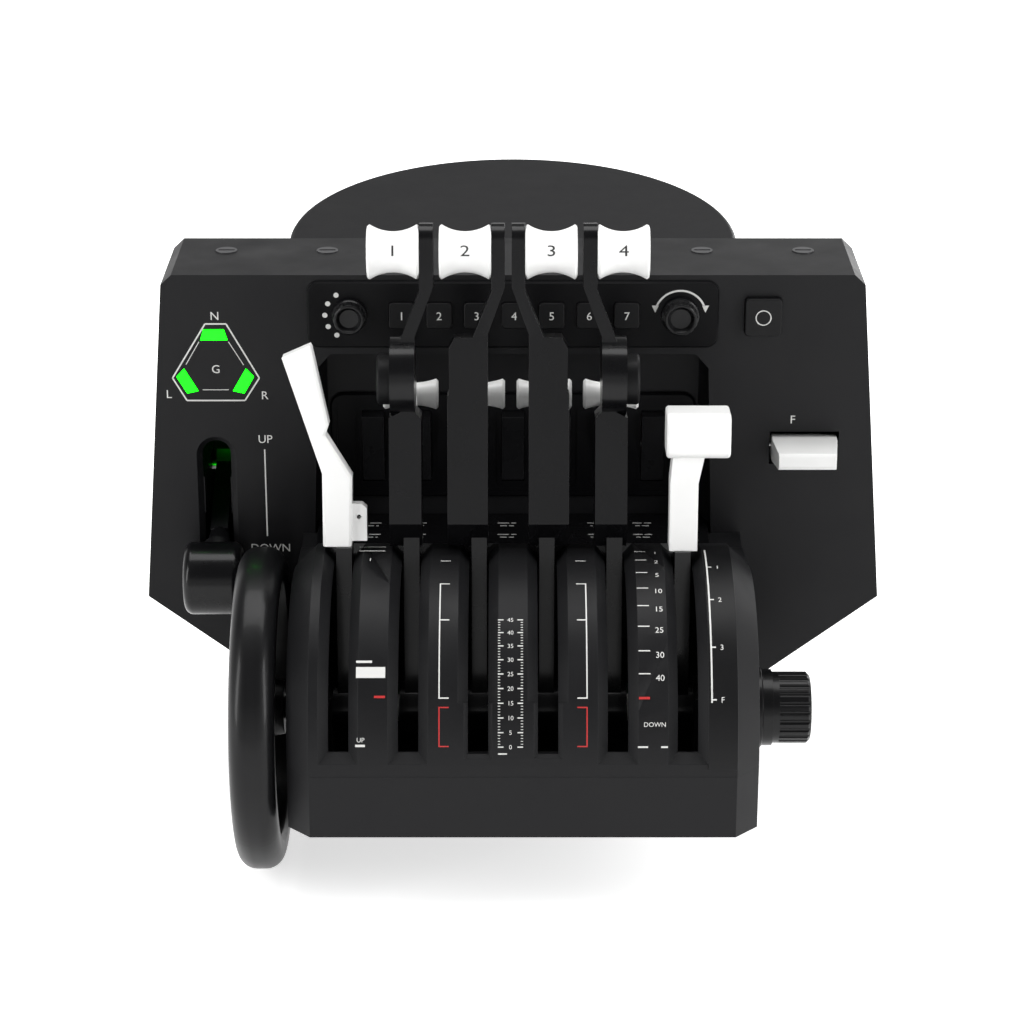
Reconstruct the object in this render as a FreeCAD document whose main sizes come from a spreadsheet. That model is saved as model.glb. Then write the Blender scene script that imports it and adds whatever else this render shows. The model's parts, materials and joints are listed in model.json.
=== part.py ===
import FreeCAD, Part
import math
import os
import Sketcher

# Desktop throttle quadrant. Frame: X to the right, Y away from the user, Z up.
# The underside is Z = 0, and the levers' axle runs along X through Y = 0.

os.makedirs("parts", exist_ok=True)
document = FreeCAD.newDocument("throttle_quadrant")
Vector = FreeCAD.Vector

# ---------------------------------------------------------------- dimensions (millimetres, degrees)

DIMENSIONS = [
    ("wall", 3, "moulded wall"),
    ("running_gap", 0.05, "radial clearance of a turning fit"),
    ("slide_gap", 0.2, "clearance round a button, rocker or lever in its opening"),
    ("pivot_height", 27.4, "axle above the underside"),
    ("seam_height", 29, "joint between tub and arch"),
    ("arch_radius", 74, "outside of the arch, from the axle"),
    ("arch_wall", 6, "thickness of the arch"),
    ("base_left", 97.8, "left side of the base, from the middle"),
    ("base_right", 106.2, "right side of the base, from the middle"),
    ("corner_cut", 10, "cut corners of the base and the arch"),
    ("crown_angle", 113, "where the arch leaves its circle behind the crown"),
    ("slot_pitch", 30, "lever to lever"),
    ("slot_width", 8.7, "lever slot"),
    ("slot_low_angle", 9, "front end of a lever slot"),
    ("slot_high_angle", 108, "rear end of a lever slot"),
    ("slot_bevel", 4.3, "bevel round an outer slot and the upper part of an inner one"),
    ("gate_bevel", 1.7, "bevel of an inner slot in the reverse gate"),
    ("gate_angle", 26.5, "top of the reverse gate"),
    ("deck_front", 57, "front edge of the annunciator deck"),
    ("deck_back", 90, "rear edge of the annunciator deck"),
    ("deck_height", 86.8, "rear edge of the deck above the underside"),
    ("deck_slope", 7.6, "rise of the deck towards the back"),
    ("deck_thickness", 2, "annunciator deck"),
    ("deck_half_width", 91.2, "half the width of the deck"),
    ("console_depth", 60, "thickness of the console"),
    ("console_top", 208.3, "top of the console"),
    ("console_top_half", 155, "half width at the top"),
    ("shoulder_half", 160, "half width at the shoulder"),
    ("shoulder_drop", 4.7, "height of the shoulder cut"),
    ("wing_half", 172, "half width at the wing corners"),
    ("wing_height", 50.4, "wing corners above the underside"),
    ("foot_half", 104.9, "half width at the underside"),
    ("recess_depth", 16, "switch recess"),
    ("recess_top", 170.7, "top edge of the recess"),
    ("recess_top_half", 83.5, "half width of the recess at its top"),
    ("recess_cut_half", 89.6, "half width below the corner cut"),
    ("recess_cut_drop", 7, "height of the corner cut"),
    ("recess_foot_half", 92.6, "half width at the recess floor"),
    ("recess_floor", 80, "floor of the recess"),
    ("recess_draft", 22, "slope of the recess side walls"),
    ("dome_radius", 105.5, "rear cover in plan"),
    ("dome_shift", 3, "centre of the rear cover behind the console"),
    ("dome_slope", 5.6, "rise of the rear cover's top towards the back"),
    ("dome_edge", 2.5, "rounding of the rear cover's top edge"),
    ("strip_half", 93.6, "half length of the autopilot strip"),
    ("strip_middle", 189.9, "middle of the strip above the underside"),
    ("strip_tall", 31.4, "height of the strip"),
    ("strip_thick", 2, "strip proud of the console"),
    ("strip_corner", 5.4, "corner radius of the strip"),
    ("key_pitch", 17.05, "autopilot keys"),
    ("key_first", -50.6, "middle of the first key"),
    ("key_wide", 11.6, "key width"),
    ("key_tall", 12.2, "key height"),
    ("key_proud", 1.4, "key above the strip"),
    ("key_corner", 1.8, "key corner radius"),
    ("key_depth", 5, "length of a key's body"),
    ("master_middle", 113.8, "master key, across"),
    ("master_height", 189, "master key, above the underside"),
    ("master_wide", 16.7, "master key width"),
    ("master_tall", 17.7, "master key height"),
    ("selector_across", -74.3, "selector knob, across"),
    ("selector_radius", 7.1, "selector knob"),
    ("selector_skirt", 8.1, "skirt of the selector knob"),
    ("encoder_across", 76, "encoder knob, across"),
    ("encoder_radius", 7.6, "encoder knob"),
    ("encoder_skirt", 8.8, "skirt of the encoder knob"),
    ("knob_proud", 8, "rotary knob in front of the strip"),
    ("knob_skirt_tall", 2.4, "height of a knob's skirt"),
    ("knob_dish", 2.2, "depth of the dish in a knob"),
    ("knob_shaft", 3, "radius of a rotary knob's shaft"),
    ("plate_half", 85.2, "half width of the switch plate"),
    ("plate_low", 95.4, "lower edge of the switch plate"),
    ("plate_high", 146.9, "upper edge of the switch plate"),
    ("plate_thick", 2.4, "switch plate"),
    ("plate_corner", 6.4, "corner radius of the switch plate"),
    ("rocker_pitch", 21.73, "rocker switches"),
    ("rocker_middle", 120.6, "rocker axis above the underside"),
    ("rocker_wide", 10.2, "rocker width"),
    ("rocker_tall", 32.6, "rocker height"),
    ("rocker_tilt", 7, "half of a rocker's throw"),
    ("rocker_thick", 5.5, "rocker at its middle"),
    ("bezel_wide", 16.2, "sunk bezel round a rocker"),
    ("bezel_tall", 39.5, "height of the bezel"),
    ("bezel_sunk", 0.9, "depth of the bezel"),
    ("lamp_middle", -136.6, "gear lamps, across"),
    ("lamp_height", 164.6, "gear lamps, above the underside"),
    ("lamp_ring", 15.3, "lamp centres from their middle"),
    ("lamp_long", 12.6, "outer side of a lamp"),
    ("lamp_short", 9.4, "inner side of a lamp"),
    ("lamp_tall", 5.2, "height of a lamp"),
    ("gear_across", -137.5, "gear lever, across"),
    ("gear_slot_half", 6.5, "half width of the gear slot"),
    ("gear_slot_low", 68, "lower end of the gear slot"),
    ("gear_slot_high", 127.8, "upper end of the gear slot"),
    ("gear_bevel", 2.6, "bevel round the gear slot"),
    ("gear_pivot_deep", 40, "gear pivot behind the panel"),
    ("gear_pivot_height", 100.8, "gear pivot above the underside"),
    ("gear_reach", 70, "gear pivot to the knob's axis"),
    ("gear_swing", 27, "gear lever below level at rest"),
    ("gear_pin", 3, "radius of the gear pivot pin"),
    ("gear_knob_radius", 16.8, "gear knob"),
    ("gear_knob_half", 13.2, "half width of the gear knob"),
    ("gear_knob_shift", -0.8, "gear knob off the lever's line"),
    ("paddle_across", 134.7, "flap switch, across"),
    ("paddle_height", 124.6, "flap switch pivot above the underside"),
    ("paddle_proud", 19, "flap switch in front of the panel"),
    ("paddle_behind", 6, "flap switch pivot behind the panel"),
    ("axle_radius", 4, "lever axle"),
    ("hub_radius", 12, "lever hub"),
    ("hub_width", 12, "lever hub along the axle"),
    ("stem_width", 7, "lever stem in its slot"),
    ("stem_depth", 16, "lever stem front to back"),
    ("block_low", 76, "bottom of the lever bodies from the axle"),
    ("group_middle", -2.1, "middle of the four throttle levers"),
    ("throttle_lean", 9, "throttle levers back from upright at rest"),
    ("brake_lean", 8, "speed brake lever back from upright at rest"),
    ("flap_lean", 4, "flap lever back from upright at rest"),
    ("lever_top", 219.3, "top of a throttle lever from the axle"),
    ("arm_depth", 14, "throttle arm front to back"),
    ("grip_middle", 206.6, "throttle grip axis from the axle"),
    ("grip_length", 22.8, "throttle grip along X"),
    ("grip_end", 12.1, "radius at a grip's ends"),
    ("grip_waist", 9, "radius at a grip's waist"),
    ("bar_length", 24.8, "reverser bar"),
    ("bar_end", 6.9, "radius of the reverser bar's ends"),
    ("bar_waist", 5, "radius of the reverser bar's middle"),
    ("bar_back", 26, "reverser bar behind the lever's middle"),
    ("bar_up", 139, "reverser bar from the axle"),
    ("reverser_back", 7, "reverser pivot behind the lever's middle"),
    ("reverser_up", 110, "reverser pivot from the axle"),
    ("reverser_plate", 6, "reverser plate"),
    ("pin_radius", 2, "reverser pivot pin"),
    ("ear_middle", 152, "thumb button boss from the axle"),
    ("ear_radius", 17.4, "thumb button boss"),
    ("thumb_middle", 150.3, "thumb button axis from the axle"),
    ("thumb_radius", 11.2, "thumb button"),
    ("thumb_stem", 3, "stem of a thumb button"),
    ("press_travel", 1, "travel of a key or a button"),
    ("tenon_wide", 5, "tenon of a plain lever along X"),
    ("tenon_deep", 8, "tenon front to back"),
    ("tenon_tall", 14, "length of the tenon"),
    ("handle_depth", 12, "speed brake and flap handle front to back"),
    ("bearing_split", 87, "between the trim shaft and the axle, left of the middle"),
    ("wheel_radius", 72.5, "trim wheel"),
    ("wheel_width", 19.9, "trim wheel rim"),
    ("wheel_left", -122.7, "outer face of the trim wheel"),
    ("rim_thick", 14, "depth of the rim"),
    ("rim_round", 8, "rounding of the rim"),
    ("web_thick", 4, "web of the trim wheel"),
    ("shaft_radius", 5, "trim wheel shaft"),
    ("friction_start", 107.4, "friction knob, inner face"),
    ("friction_flange", 18, "friction knob flange radius"),
    ("friction_radius", 16.1, "friction knob body radius"),
    ("friction_end", 133.6, "friction knob, outer face"),
    ("insert_radius", 5, "threaded inserts in the console's top"),
    ("insert_deep", 7, "length of a threaded insert"),
    ("screw_radius", 3, "case screw head"),
    ("rod_radius", 1.5, "rod through the rockers and pin of the flap switch"),
    ("detent_thick", 1, "detent plate"),
]

sheet = document.addObject("Spreadsheet::Sheet", "sizes")
for row, (alias, value, meaning) in enumerate(DIMENSIONS, start=1):
    sheet.set("A%d" % row, meaning)
    sheet.set("B%d" % row, str(value))
    sheet.setAlias("B%d" % row, alias)
document.recompute()


class Size:
    """A length or an angle: its number, and the expression that ties it to the sheet."""

    def __init__(self, number, text):
        self.number = number
        self.text = text

    def __add__(self, other):
        other = as_size(other)
        return Size(self.number + other.number, "(%s + %s)" % (self.text, other.text))

    def __sub__(self, other):
        other = as_size(other)
        return Size(self.number - other.number, "(%s - %s)" % (self.text, other.text))

    def __mul__(self, other):
        other = as_size(other)
        return Size(self.number * other.number, "(%s * %s)" % (self.text, other.text))

    def __truediv__(self, other):
        other = as_size(other)
        return Size(self.number / other.number, "(%s / %s)" % (self.text, other.text))

    def __radd__(self, other):
        return as_size(other) + self

    def __rsub__(self, other):
        return as_size(other) - self

    def __rmul__(self, other):
        return as_size(other) * self

    def __neg__(self):
        return as_size(0) - self

    def __float__(self):
        return float(self.number)


def as_size(value):
    return value if isinstance(value, Size) else Size(float(value), repr(float(value)))


def sine(angle):
    return Size(math.sin(math.radians(angle.number)), "sin(%s)" % angle.text)


def cosine(angle):
    return Size(math.cos(math.radians(angle.number)), "cos(%s)" % angle.text)


class Sheet:
    """Reads the sheet's cells by name, as sizes."""

    def __getattr__(self, alias):
        return Size(float(sheet.get(alias)), "sizes." + alias)


d = Sheet()

# ---------------------------------------------------------------- construction helpers

PLANES = {"top": "XY_Plane", "front": "XZ_Plane", "side": "YZ_Plane"}
ACROSS = Vector(1, 0, 0)
UPRIGHT = Vector(0, 0, 1)
sub_parts = []


def tie(thing, name, value):
    """Sets a property and keeps it bound to the sheet."""
    thing.setExpression(name, as_size(value).text)


def place(thing, at=(0, 0, 0), axis=ACROSS, angle=0):
    """Puts a piece at a point, turned by a positive angle about an axis."""
    point = Vector(*[float(value) for value in at])
    thing.Placement = FreeCAD.Placement(point, FreeCAD.Rotation(axis, float(angle)))
    for letter, value in zip("xyz", at):
        tie(thing, "Placement.Base." + letter, value)
    if float(angle):
        tie(thing, "Placement.Rotation.Angle", angle)


def keep(thing, label):
    """Makes an object a sub-part of its own."""
    thing.Label = label
    sub_parts.append(thing)
    return thing


SEAMED = ("arch_cover",)


def new_body(label, at=(0, 0, 0), axis=ACROSS, angle=0):
    body = document.addObject("PartDesign::Body", label)
    place(body, at, axis, angle)
    return body


def new_sketch(body, plane, lift=0):
    """A sketch on one of the body's planes: top (X, Y), front (X, Z) or side (Y, Z)."""
    sketch = body.newObject("Sketcher::SketchObject", body.Name + "_sketch")
    support = [item for item in body.Origin.OriginFeatures if item.Role == PLANES[plane]][0]
    sketch.AttachmentSupport = (support, [""])
    sketch.MapMode = "FlatFace"
    tie(sketch, "AttachmentOffset.Base.z", lift)
    return sketch


def pin_point(sketch, geometry, position, point):
    """Fixes a point of a sketch at two bound distances from its origin."""
    for kind, value in zip(("DistanceX", "DistanceY"), point):
        value = as_size(value)
        rule = Sketcher.Constraint(kind, -1, 1, geometry, position, value.number)
        number = sketch.addConstraint(rule)
        sketch.setExpression("Constraints[%d]" % number, value.text)


def pin_height(sketch, geometry, height):
    """Fixes how high the centre of an arc lies."""
    height = as_size(height)
    rule = Sketcher.Constraint("DistanceY", -1, 1, geometry, 3, height.number)
    number = sketch.addConstraint(rule)
    sketch.setExpression("Constraints[%d]" % number, height.text)


def pin_radius(sketch, geometry, radius):
    radius = as_size(radius)
    number = sketch.addConstraint(Sketcher.Constraint("Radius", geometry, radius.number))
    sketch.setExpression("Constraints[%d]" % number, radius.text)


def arc_between(start, end, radius):
    """The short arc from start to end; a positive radius bulges to the right of the way there."""
    chord = end - start
    normal = Vector(chord.y, -chord.x, 0).normalize() * math.copysign(1, radius)
    depth = abs(radius) - math.sqrt(max(radius * radius - chord.Length ** 2 / 4, 0))
    middle = (start + end) / 2 + normal * depth
    return Part.Arc(start, middle, end) if radius > 0 else Part.Arc(end, middle, start)


def outline(sketch, corners, arcs=None):
    """Closes a line through the corners. arcs gives the radius of each side that is an arc,
    or "half" for a half circle on a level side."""
    arcs = arcs or {}
    points = [Vector(float(x), float(y), 0) for x, y in corners]
    count = len(points)
    ends = []
    for side in range(count):
        start = points[side]
        end = points[(side + 1) % count]
        if side in arcs:
            half_circle = arcs[side] == "half"
            radius = (end - start).Length / 2 if half_circle else float(arcs[side])
            number = sketch.addGeometry(arc_between(start, end, radius), False)
            forward = (sketch.Geometry[number].StartPoint - start).Length < 0.001
            ends.append((number, 1, 2) if forward else (number, 2, 1))
            if half_circle:
                pin_height(sketch, number, corners[side][1])
            else:
                pin_radius(sketch, number, arcs[side] if radius > 0 else -as_size(arcs[side]))
        else:
            number = sketch.addGeometry(Part.LineSegment(start, end), False)
            ends.append((number, 1, 2))
    for side in range(count):
        number, first, last = ends[side]
        following, following_first, _ = ends[(side + 1) % count]
        rule = Sketcher.Constraint("Coincident", number, last, following, following_first)
        sketch.addConstraint(rule)
        pin_point(sketch, number, first, corners[side])


def rectangle(sketch, left, low, right, high):
    outline(sketch, [(left, low), (right, low), (right, high), (left, high)])


def rounded_rectangle(sketch, left, low, right, high, corner):
    corners = [
        (left + corner, low), (right - corner, low), (right, low + corner), (right, high - corner),
        (right - corner, high), (left + corner, high), (left, high - corner), (left, low + corner),
    ]
    outline(sketch, corners, {1: corner, 3: corner, 5: corner, 7: corner})


def circle(sketch, across, up, radius):
    centre = Vector(float(across), float(up), 0)
    number = sketch.addGeometry(Part.Circle(centre, UPRIGHT, float(radius)), False)
    pin_point(sketch, number, 3, (across, up))
    pin_radius(sketch, number, radius)


def pad(body, sketch, length, backwards=False, both_ways=False):
    feature = body.newObject("PartDesign::Pad", body.Name + "_pad")
    feature.Refine = body.Name not in SEAMED
    feature.Profile = sketch
    tie(feature, "Length", length)
    feature.Reversed = backwards
    if both_ways:
        feature.SideType = "Symmetric"
    return feature


def pocket(body, sketch, length=None, backwards=False):
    """Cuts a sketch's area; with no length it cuts through everything, both ways."""
    before = solid_volume(body)
    feature = body.newObject("PartDesign::Pocket", body.Name + "_pocket")
    feature.Refine = body.Name not in SEAMED
    feature.Profile = sketch
    if length is None:
        feature.Type = "ThroughAll"
        feature.SideType = "Symmetric"
    else:
        tie(feature, "Length", length)
        feature.Reversed = backwards
    document.recompute()
    if feature.Shape.Volume > before - 0.01:
        raise RuntimeError("a pocket cuts nothing: " + feature.Name)
    return feature


def solid_volume(body):
    document.recompute()
    return body.Tip.Shape.Volume


def revolve(body, sketch, about):
    """Turns a profile about the sketch's horizontal or vertical axis."""
    feature = body.newObject("PartDesign::Revolution", body.Name + "_revolution")
    feature.Profile = sketch
    feature.ReferenceAxis = (sketch, ["H_Axis" if about == "horizontal" else "V_Axis"])
    feature.Angle = 360
    return feature


def edge_names(shape, wanted):
    return ["Edge%d" % (number + 1) for number, edge in enumerate(shape.Edges) if wanted(edge)]


def soften(body, kind, size, wanted):
    """Fillets or chamfers the edges of the body's last feature that answer the question."""
    document.recompute()
    base = body.Tip
    names = edge_names(base.Shape, wanted)
    if not names:
        raise RuntimeError("no edge to soften on " + body.Name)
    feature = body.newObject("PartDesign::" + kind, body.Name + "_" + kind.lower())
    feature.Refine = body.Name not in SEAMED
    feature.Base = (base, names)
    tie(feature, "Radius" if kind == "Fillet" else "Size", size)
    return feature


def box(name, size, at, axis=ACROSS, angle=0):
    thing = document.addObject("Part::Box", name)
    for prop, value in zip(("Length", "Width", "Height"), size):
        tie(thing, prop, value)
    place(thing, at, axis, angle)
    return thing


def cylinder(name, radius, length, at, axis=ACROSS, angle=0):
    thing = document.addObject("Part::Cylinder", name)
    tie(thing, "Radius", radius)
    tie(thing, "Height", length)
    place(thing, at, axis, angle)
    return thing


def rod(name, radius, start, end, at=(0, 0)):
    """A cylinder along X from start to end, at a (Y, Z) point."""
    return cylinder(name, radius, end - start, (start, at[0], at[1]), Vector(0, 1, 0), 90)


def join(name, pieces, kind="Part::MultiFuse"):
    thing = document.addObject(kind, name)
    if kind == "Part::Compound":
        thing.Links = pieces
    else:
        thing.Shapes = pieces
    return thing


def cut(name, base, tool):
    thing = document.addObject("Part::Cut", name)
    thing.Base = base
    thing.Tool = tool
    return thing


def near(value, target, tolerance=0.02):
    return abs(value - float(target)) < tolerance


# ---------------------------------------------------------------- base tub

def base_outline(sketch, inset=0):
    """The base in plan: a rectangle with its two front corners cut."""
    front = -d.arch_radius + inset
    rear = d.arch_radius - inset
    left = -d.base_left + inset
    right = d.base_right - inset
    outline(sketch, [
        (left + d.corner_cut, front), (right - d.corner_cut, front),
        (right, front + d.corner_cut), (right, rear),
        (left, rear), (left, front + d.corner_cut),
    ])


def make_base_tub():
    body = new_body("base_tub")
    plan = new_sketch(body, "top")
    base_outline(plan)
    pad(body, plan, d.seam_height)
    inside = new_sketch(body, "top")
    base_outline(inside, d.wall)
    pocket(body, inside, d.seam_height, backwards=True)
    passage = new_sketch(body, "side")
    circle(passage, 0, d.pivot_height, d.shaft_radius + d.slide_gap)
    pocket(body, passage)
    bolts = new_sketch(body, "front", -d.arch_radius)
    for across, up in CONSOLE_SCREWS:
        circle(bolts, across, up, d.rod_radius)
    pocket(body, bolts, d.wall * 2, backwards=True)
    return keep(body, "base_tub")


def make_bottom_plate():
    """Closes the tub's underside, two millimetres up, with a rim left for the pads."""
    body = new_body("bottom_plate", (0, 0, d.wall - 1))
    plan = new_sketch(body, "top")
    base_outline(plan, d.wall)
    pad(body, plan, d.wall)
    holes = new_sketch(body, "top")
    for across, back in UNDERSIDE_SCREWS:
        circle(holes, across, back, d.screw_radius)
    pocket(body, holes)
    return keep(body, "bottom_plate")


# ---------------------------------------------------------------- arch

def on_arc(radius, angle):
    """A (Y, Z) point at a radius from the axle; 0 degrees points at the user, 90 straight up."""
    return (-radius * cosine(as_size(angle)), d.pivot_height + radius * sine(as_size(angle)))


def deck_top(back):
    """Height of the deck's upper face at a distance Y."""
    return d.deck_height - (d.deck_back - back) * sine(d.deck_slope) / cosine(d.deck_slope)


def arch_profile(sketch, inset, sunk=0):
    """Side view of the arch: a near half circle, a straight fall and the ledge for the deck."""
    radius = d.arch_radius - inset - sunk
    rise = d.seam_height - d.pivot_height
    front = Size(math.sqrt(radius.number ** 2 - rise.number ** 2),
                 "sqrt(%s^2 - %s^2)" % (radius.text, rise.text))
    ledge_drop = d.deck_thickness / cosine(d.deck_slope) + inset
    ledge_front = d.deck_front - inset
    outline(sketch, [
        (-front, d.seam_height),
        (d.arch_radius, d.seam_height),
        (d.arch_radius, deck_top(d.arch_radius) - ledge_drop),
        (ledge_front, deck_top(ledge_front) - ledge_drop),
        (ledge_front, deck_top(ledge_front) - inset),
        on_arc(radius, d.crown_angle),
        on_arc(radius, d.crown_angle / 2),
    ], {5: radius, 6: radius})


def slot_sector(sketch, low, high):
    """A fan between two angles, from inside the arch's hollow to outside its skin."""
    outer = d.arch_radius + d.slot_pitch / 5
    inner = d.arch_radius * 0.7
    step = (high - low) / 3
    outline(sketch, [
        on_arc(inner, high), on_arc(outer, high), on_arc(outer, low + step * 2),
        on_arc(outer, low + step), on_arc(outer, low), on_arc(inner, low), on_arc(inner, low + step),
        on_arc(inner, low + step * 2),
    ])


def slot_middle(number):
    """Middle of a lever slot; slots are numbered from 0 at the left."""
    return d.slot_pitch * (number - 2.5)


def on_skin(edge):
    """True for an edge that lies all along the outside of the arch."""
    points = edge.discretize(5)
    height = float(d.pivot_height)
    return all(near(math.hypot(point.y, point.z - height), d.arch_radius) for point in points)


def beside_slot(edge, middle):
    reach = float(d.slot_width) / 2 + 0.01
    return all(abs(point.x - float(middle)) < reach for point in edge.discretize(5))


def make_arch_cover():
    body = new_body("arch_cover")
    left = -d.base_left + d.corner_cut
    right = d.base_right - d.corner_cut
    side = new_sketch(body, "side", left)
    arch_profile(side, as_size(0))
    pad(body, side, right - left)
    for inner, outer in ((left, -d.base_left), (right, d.base_right)):
        wide = new_sketch(body, "side", inner)
        arch_profile(wide, as_size(0))
        narrow = new_sketch(body, "side", outer)
        arch_profile(narrow, as_size(0), d.corner_cut)
        end = body.newObject("PartDesign::AdditiveLoft", "arch_cover_end")
        end.Refine = False
        end.Profile = wide
        end.Sections = [narrow]
        end.Ruled = True
    hollow = new_sketch(body, "side", -d.base_left + d.corner_cut + 1)
    arch_profile(hollow, d.arch_wall)
    pocket(body, hollow, d.base_right + d.base_left - d.corner_cut * 2 - 2, backwards=True)
    deep = new_sketch(body, "side", -d.base_left + d.wall)
    arch_profile(deep, d.arch_wall + d.corner_cut - d.wall)
    pocket(body, deep, d.base_right + d.base_left - d.wall * 2, backwards=True)
    for number in range(6):
        slot = new_sketch(body, "side", slot_middle(number) - d.slot_width / 2)
        slot_sector(slot, d.slot_low_angle, d.slot_high_angle)
        pocket(body, slot, d.slot_width, backwards=True)
    for number in range(6):
        middle = slot_middle(number)
        bevel = d.gate_bevel if number in (2, 3) else d.slot_bevel
        soften(body, "Chamfer", bevel, lambda edge: on_skin(edge) and beside_slot(edge, middle))
    for number in (2, 3):
        widen_slot(body, slot_middle(number))
    passage = new_sketch(body, "side")
    circle(passage, 0, d.pivot_height, d.shaft_radius + d.slide_gap)
    pocket(body, passage)
    return keep(body, "arch_cover")


def widen_slot(body, middle):
    """Bevels the upper part of an inner slot as widely as the outer ones."""
    profile = new_sketch(body, "front")
    tie(profile, "AttachmentOffset.Base.y", d.pivot_height)
    profile.AttachmentOffset = FreeCAD.Placement(profile.AttachmentOffset.Base,
                                                 FreeCAD.Rotation(ACROSS, 1))
    tie(profile, "AttachmentOffset.Rotation.Angle", 360 + 90 - d.slot_high_angle)
    half = d.slot_width / 2
    over = as_size(1)
    outline(profile, [
        (middle - half, d.arch_radius - d.slot_bevel), (middle + half, d.arch_radius - d.slot_bevel),
        (middle + half + d.slot_bevel + over, d.arch_radius + over),
        (middle - half - d.slot_bevel - over, d.arch_radius + over),
    ])
    before = solid_volume(body)
    groove = body.newObject("PartDesign::Groove", body.Name + "_groove")
    groove.Refine = False
    groove.Profile = profile
    groove.ReferenceAxis = (profile, ["H_Axis"])
    tie(groove, "Angle", d.slot_high_angle - d.gate_angle)
    document.recompute()
    if groove.Shape.Volume > before - 100:
        groove.Reversed = True


def make_detent_plate():
    """The thin plate on the land to the right of the flap slot."""
    body = new_body("detent_plate")
    left = slot_middle(5) + d.slot_width / 2 + d.slot_bevel
    right = d.base_right - d.corner_cut
    side = new_sketch(body, "side", left)
    low = d.slot_low_angle - 5
    high = d.slot_high_angle - 9
    middle = (low + high) / 2
    inner = d.arch_radius + d.running_gap
    outer = d.arch_radius + d.detent_thick
    outline(side, [
        on_arc(inner, low), on_arc(outer, low), on_arc(outer, middle), on_arc(outer, high),
        on_arc(inner, high), on_arc(inner, middle),
    ], {1: -outer, 2: -outer, 4: inner, 5: inner})
    pad(body, side, right - left)
    return keep(body, "detent_plate")


def make_annunciator_panel():
    """The lit legends' plate, lying on the arch's ledge and running into the recess."""
    lean = d.deck_slope
    under = d.deck_thickness / cosine(lean)
    front = d.deck_front + d.deck_thickness * sine(lean)
    start = (-d.deck_half_width, front, deck_top(front) - under)
    size = (d.deck_half_width * 2, (d.deck_back - front) / cosine(lean) - 1, d.deck_thickness)
    return keep(box("annunciator_panel", size, start, ACROSS, lean), "annunciator_panel")


# ---------------------------------------------------------------- console

def console_outline(sketch, inset=0):
    inset = as_size(inset)
    top = d.console_top - inset
    shoulder = d.console_top - d.shoulder_drop
    corners = [
        (d.foot_half - inset * 0.8, inset), (d.wing_half - inset * 1.15, d.wing_height),
        (d.shoulder_half - inset, shoulder - inset * 0.5),
        (d.console_top_half - inset * 0.5, top),
    ]
    outline(sketch, corners + [(-across, up) for across, up in reversed(corners)])


def recess_outline(sketch, inset=0):
    inset = as_size(inset)
    corners = [
        (d.recess_foot_half + inset, d.recess_floor - inset),
        (d.recess_cut_half + inset, d.recess_top - d.recess_cut_drop),
        (d.recess_top_half + inset / 2, d.recess_top + inset),
    ]
    outline(sketch, corners + [(-across, up) for across, up in reversed(corners)])


def stadium(sketch, middle, half, low, high):
    """An upright slot with round ends."""
    outline(sketch, [
        (middle - half, low + half), (middle + half, low + half),
        (middle + half, high - half), (middle - half, high - half),
    ], {0: "half", 2: "half"})


def lamp_corners(turn, grow=0):
    """The four corners of a gear lamp, turned about the lamps' common middle."""
    inner = d.lamp_ring - d.lamp_tall / 2 - grow
    outer = d.lamp_ring + d.lamp_tall / 2 + grow
    plain = [
        (-d.lamp_long / 2 - grow, inner), (d.lamp_long / 2 + grow, inner),
        (d.lamp_short / 2 + grow, outer), (-d.lamp_short / 2 - grow, outer),
    ]
    turn = as_size(turn)
    return [(d.lamp_middle + x * cosine(turn) - y * sine(turn),
             d.lamp_height + x * sine(turn) + y * cosine(turn)) for x, y in plain]


def make_console_housing():
    """The upright housing: a moulded shell, open at the back, with a recess for the switches."""
    body = new_body("console_housing")
    front = -d.arch_radius
    back = front - d.console_depth
    face = new_sketch(body, "front", front)
    console_outline(face)
    pad(body, face, d.console_depth, backwards=True)
    hollow = new_sketch(body, "front", back)
    console_outline(hollow, d.wall)
    pocket(body, hollow, d.console_depth - d.recess_depth - d.wall, backwards=True)
    ring = new_sketch(body, "front", front - d.wall)
    console_outline(ring, d.wall)
    recess_outline(ring, d.wall)
    pocket(body, ring, d.recess_depth)
    recess = new_sketch(body, "front", front)
    recess_outline(recess)
    pocket(body, recess, d.recess_depth)
    add_recess_cheeks(body)
    cut_console_openings(body)
    add_gear_bracket(body)
    add_paddle_bracket(body)
    bolts = new_sketch(body, "front", front)
    for across, up in CONSOLE_SCREWS:
        circle(bolts, across, up, d.rod_radius)
    pocket(body, bolts, d.wall)
    return keep(body, "console_housing")


def add_recess_cheeks(body):
    """The sloping side walls of the recess, above the deck."""
    slope = sine(d.recess_draft) / cosine(d.recess_draft)
    reach = d.recess_depth * slope
    for side in (-1, 1):
        cheek = new_sketch(body, "top", d.deck_height)
        wide = d.recess_foot_half + 0.5
        corners = [(wide * side, d.arch_radius + as_size(0.5) / slope), (wide * side, d.arch_radius + d.recess_depth),
                   ((d.recess_foot_half - reach) * side, d.arch_radius + d.recess_depth)]
        outline(cheek, corners if side > 0 else corners[::-1])
        pad(body, cheek, d.recess_top - d.deck_height)


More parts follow.
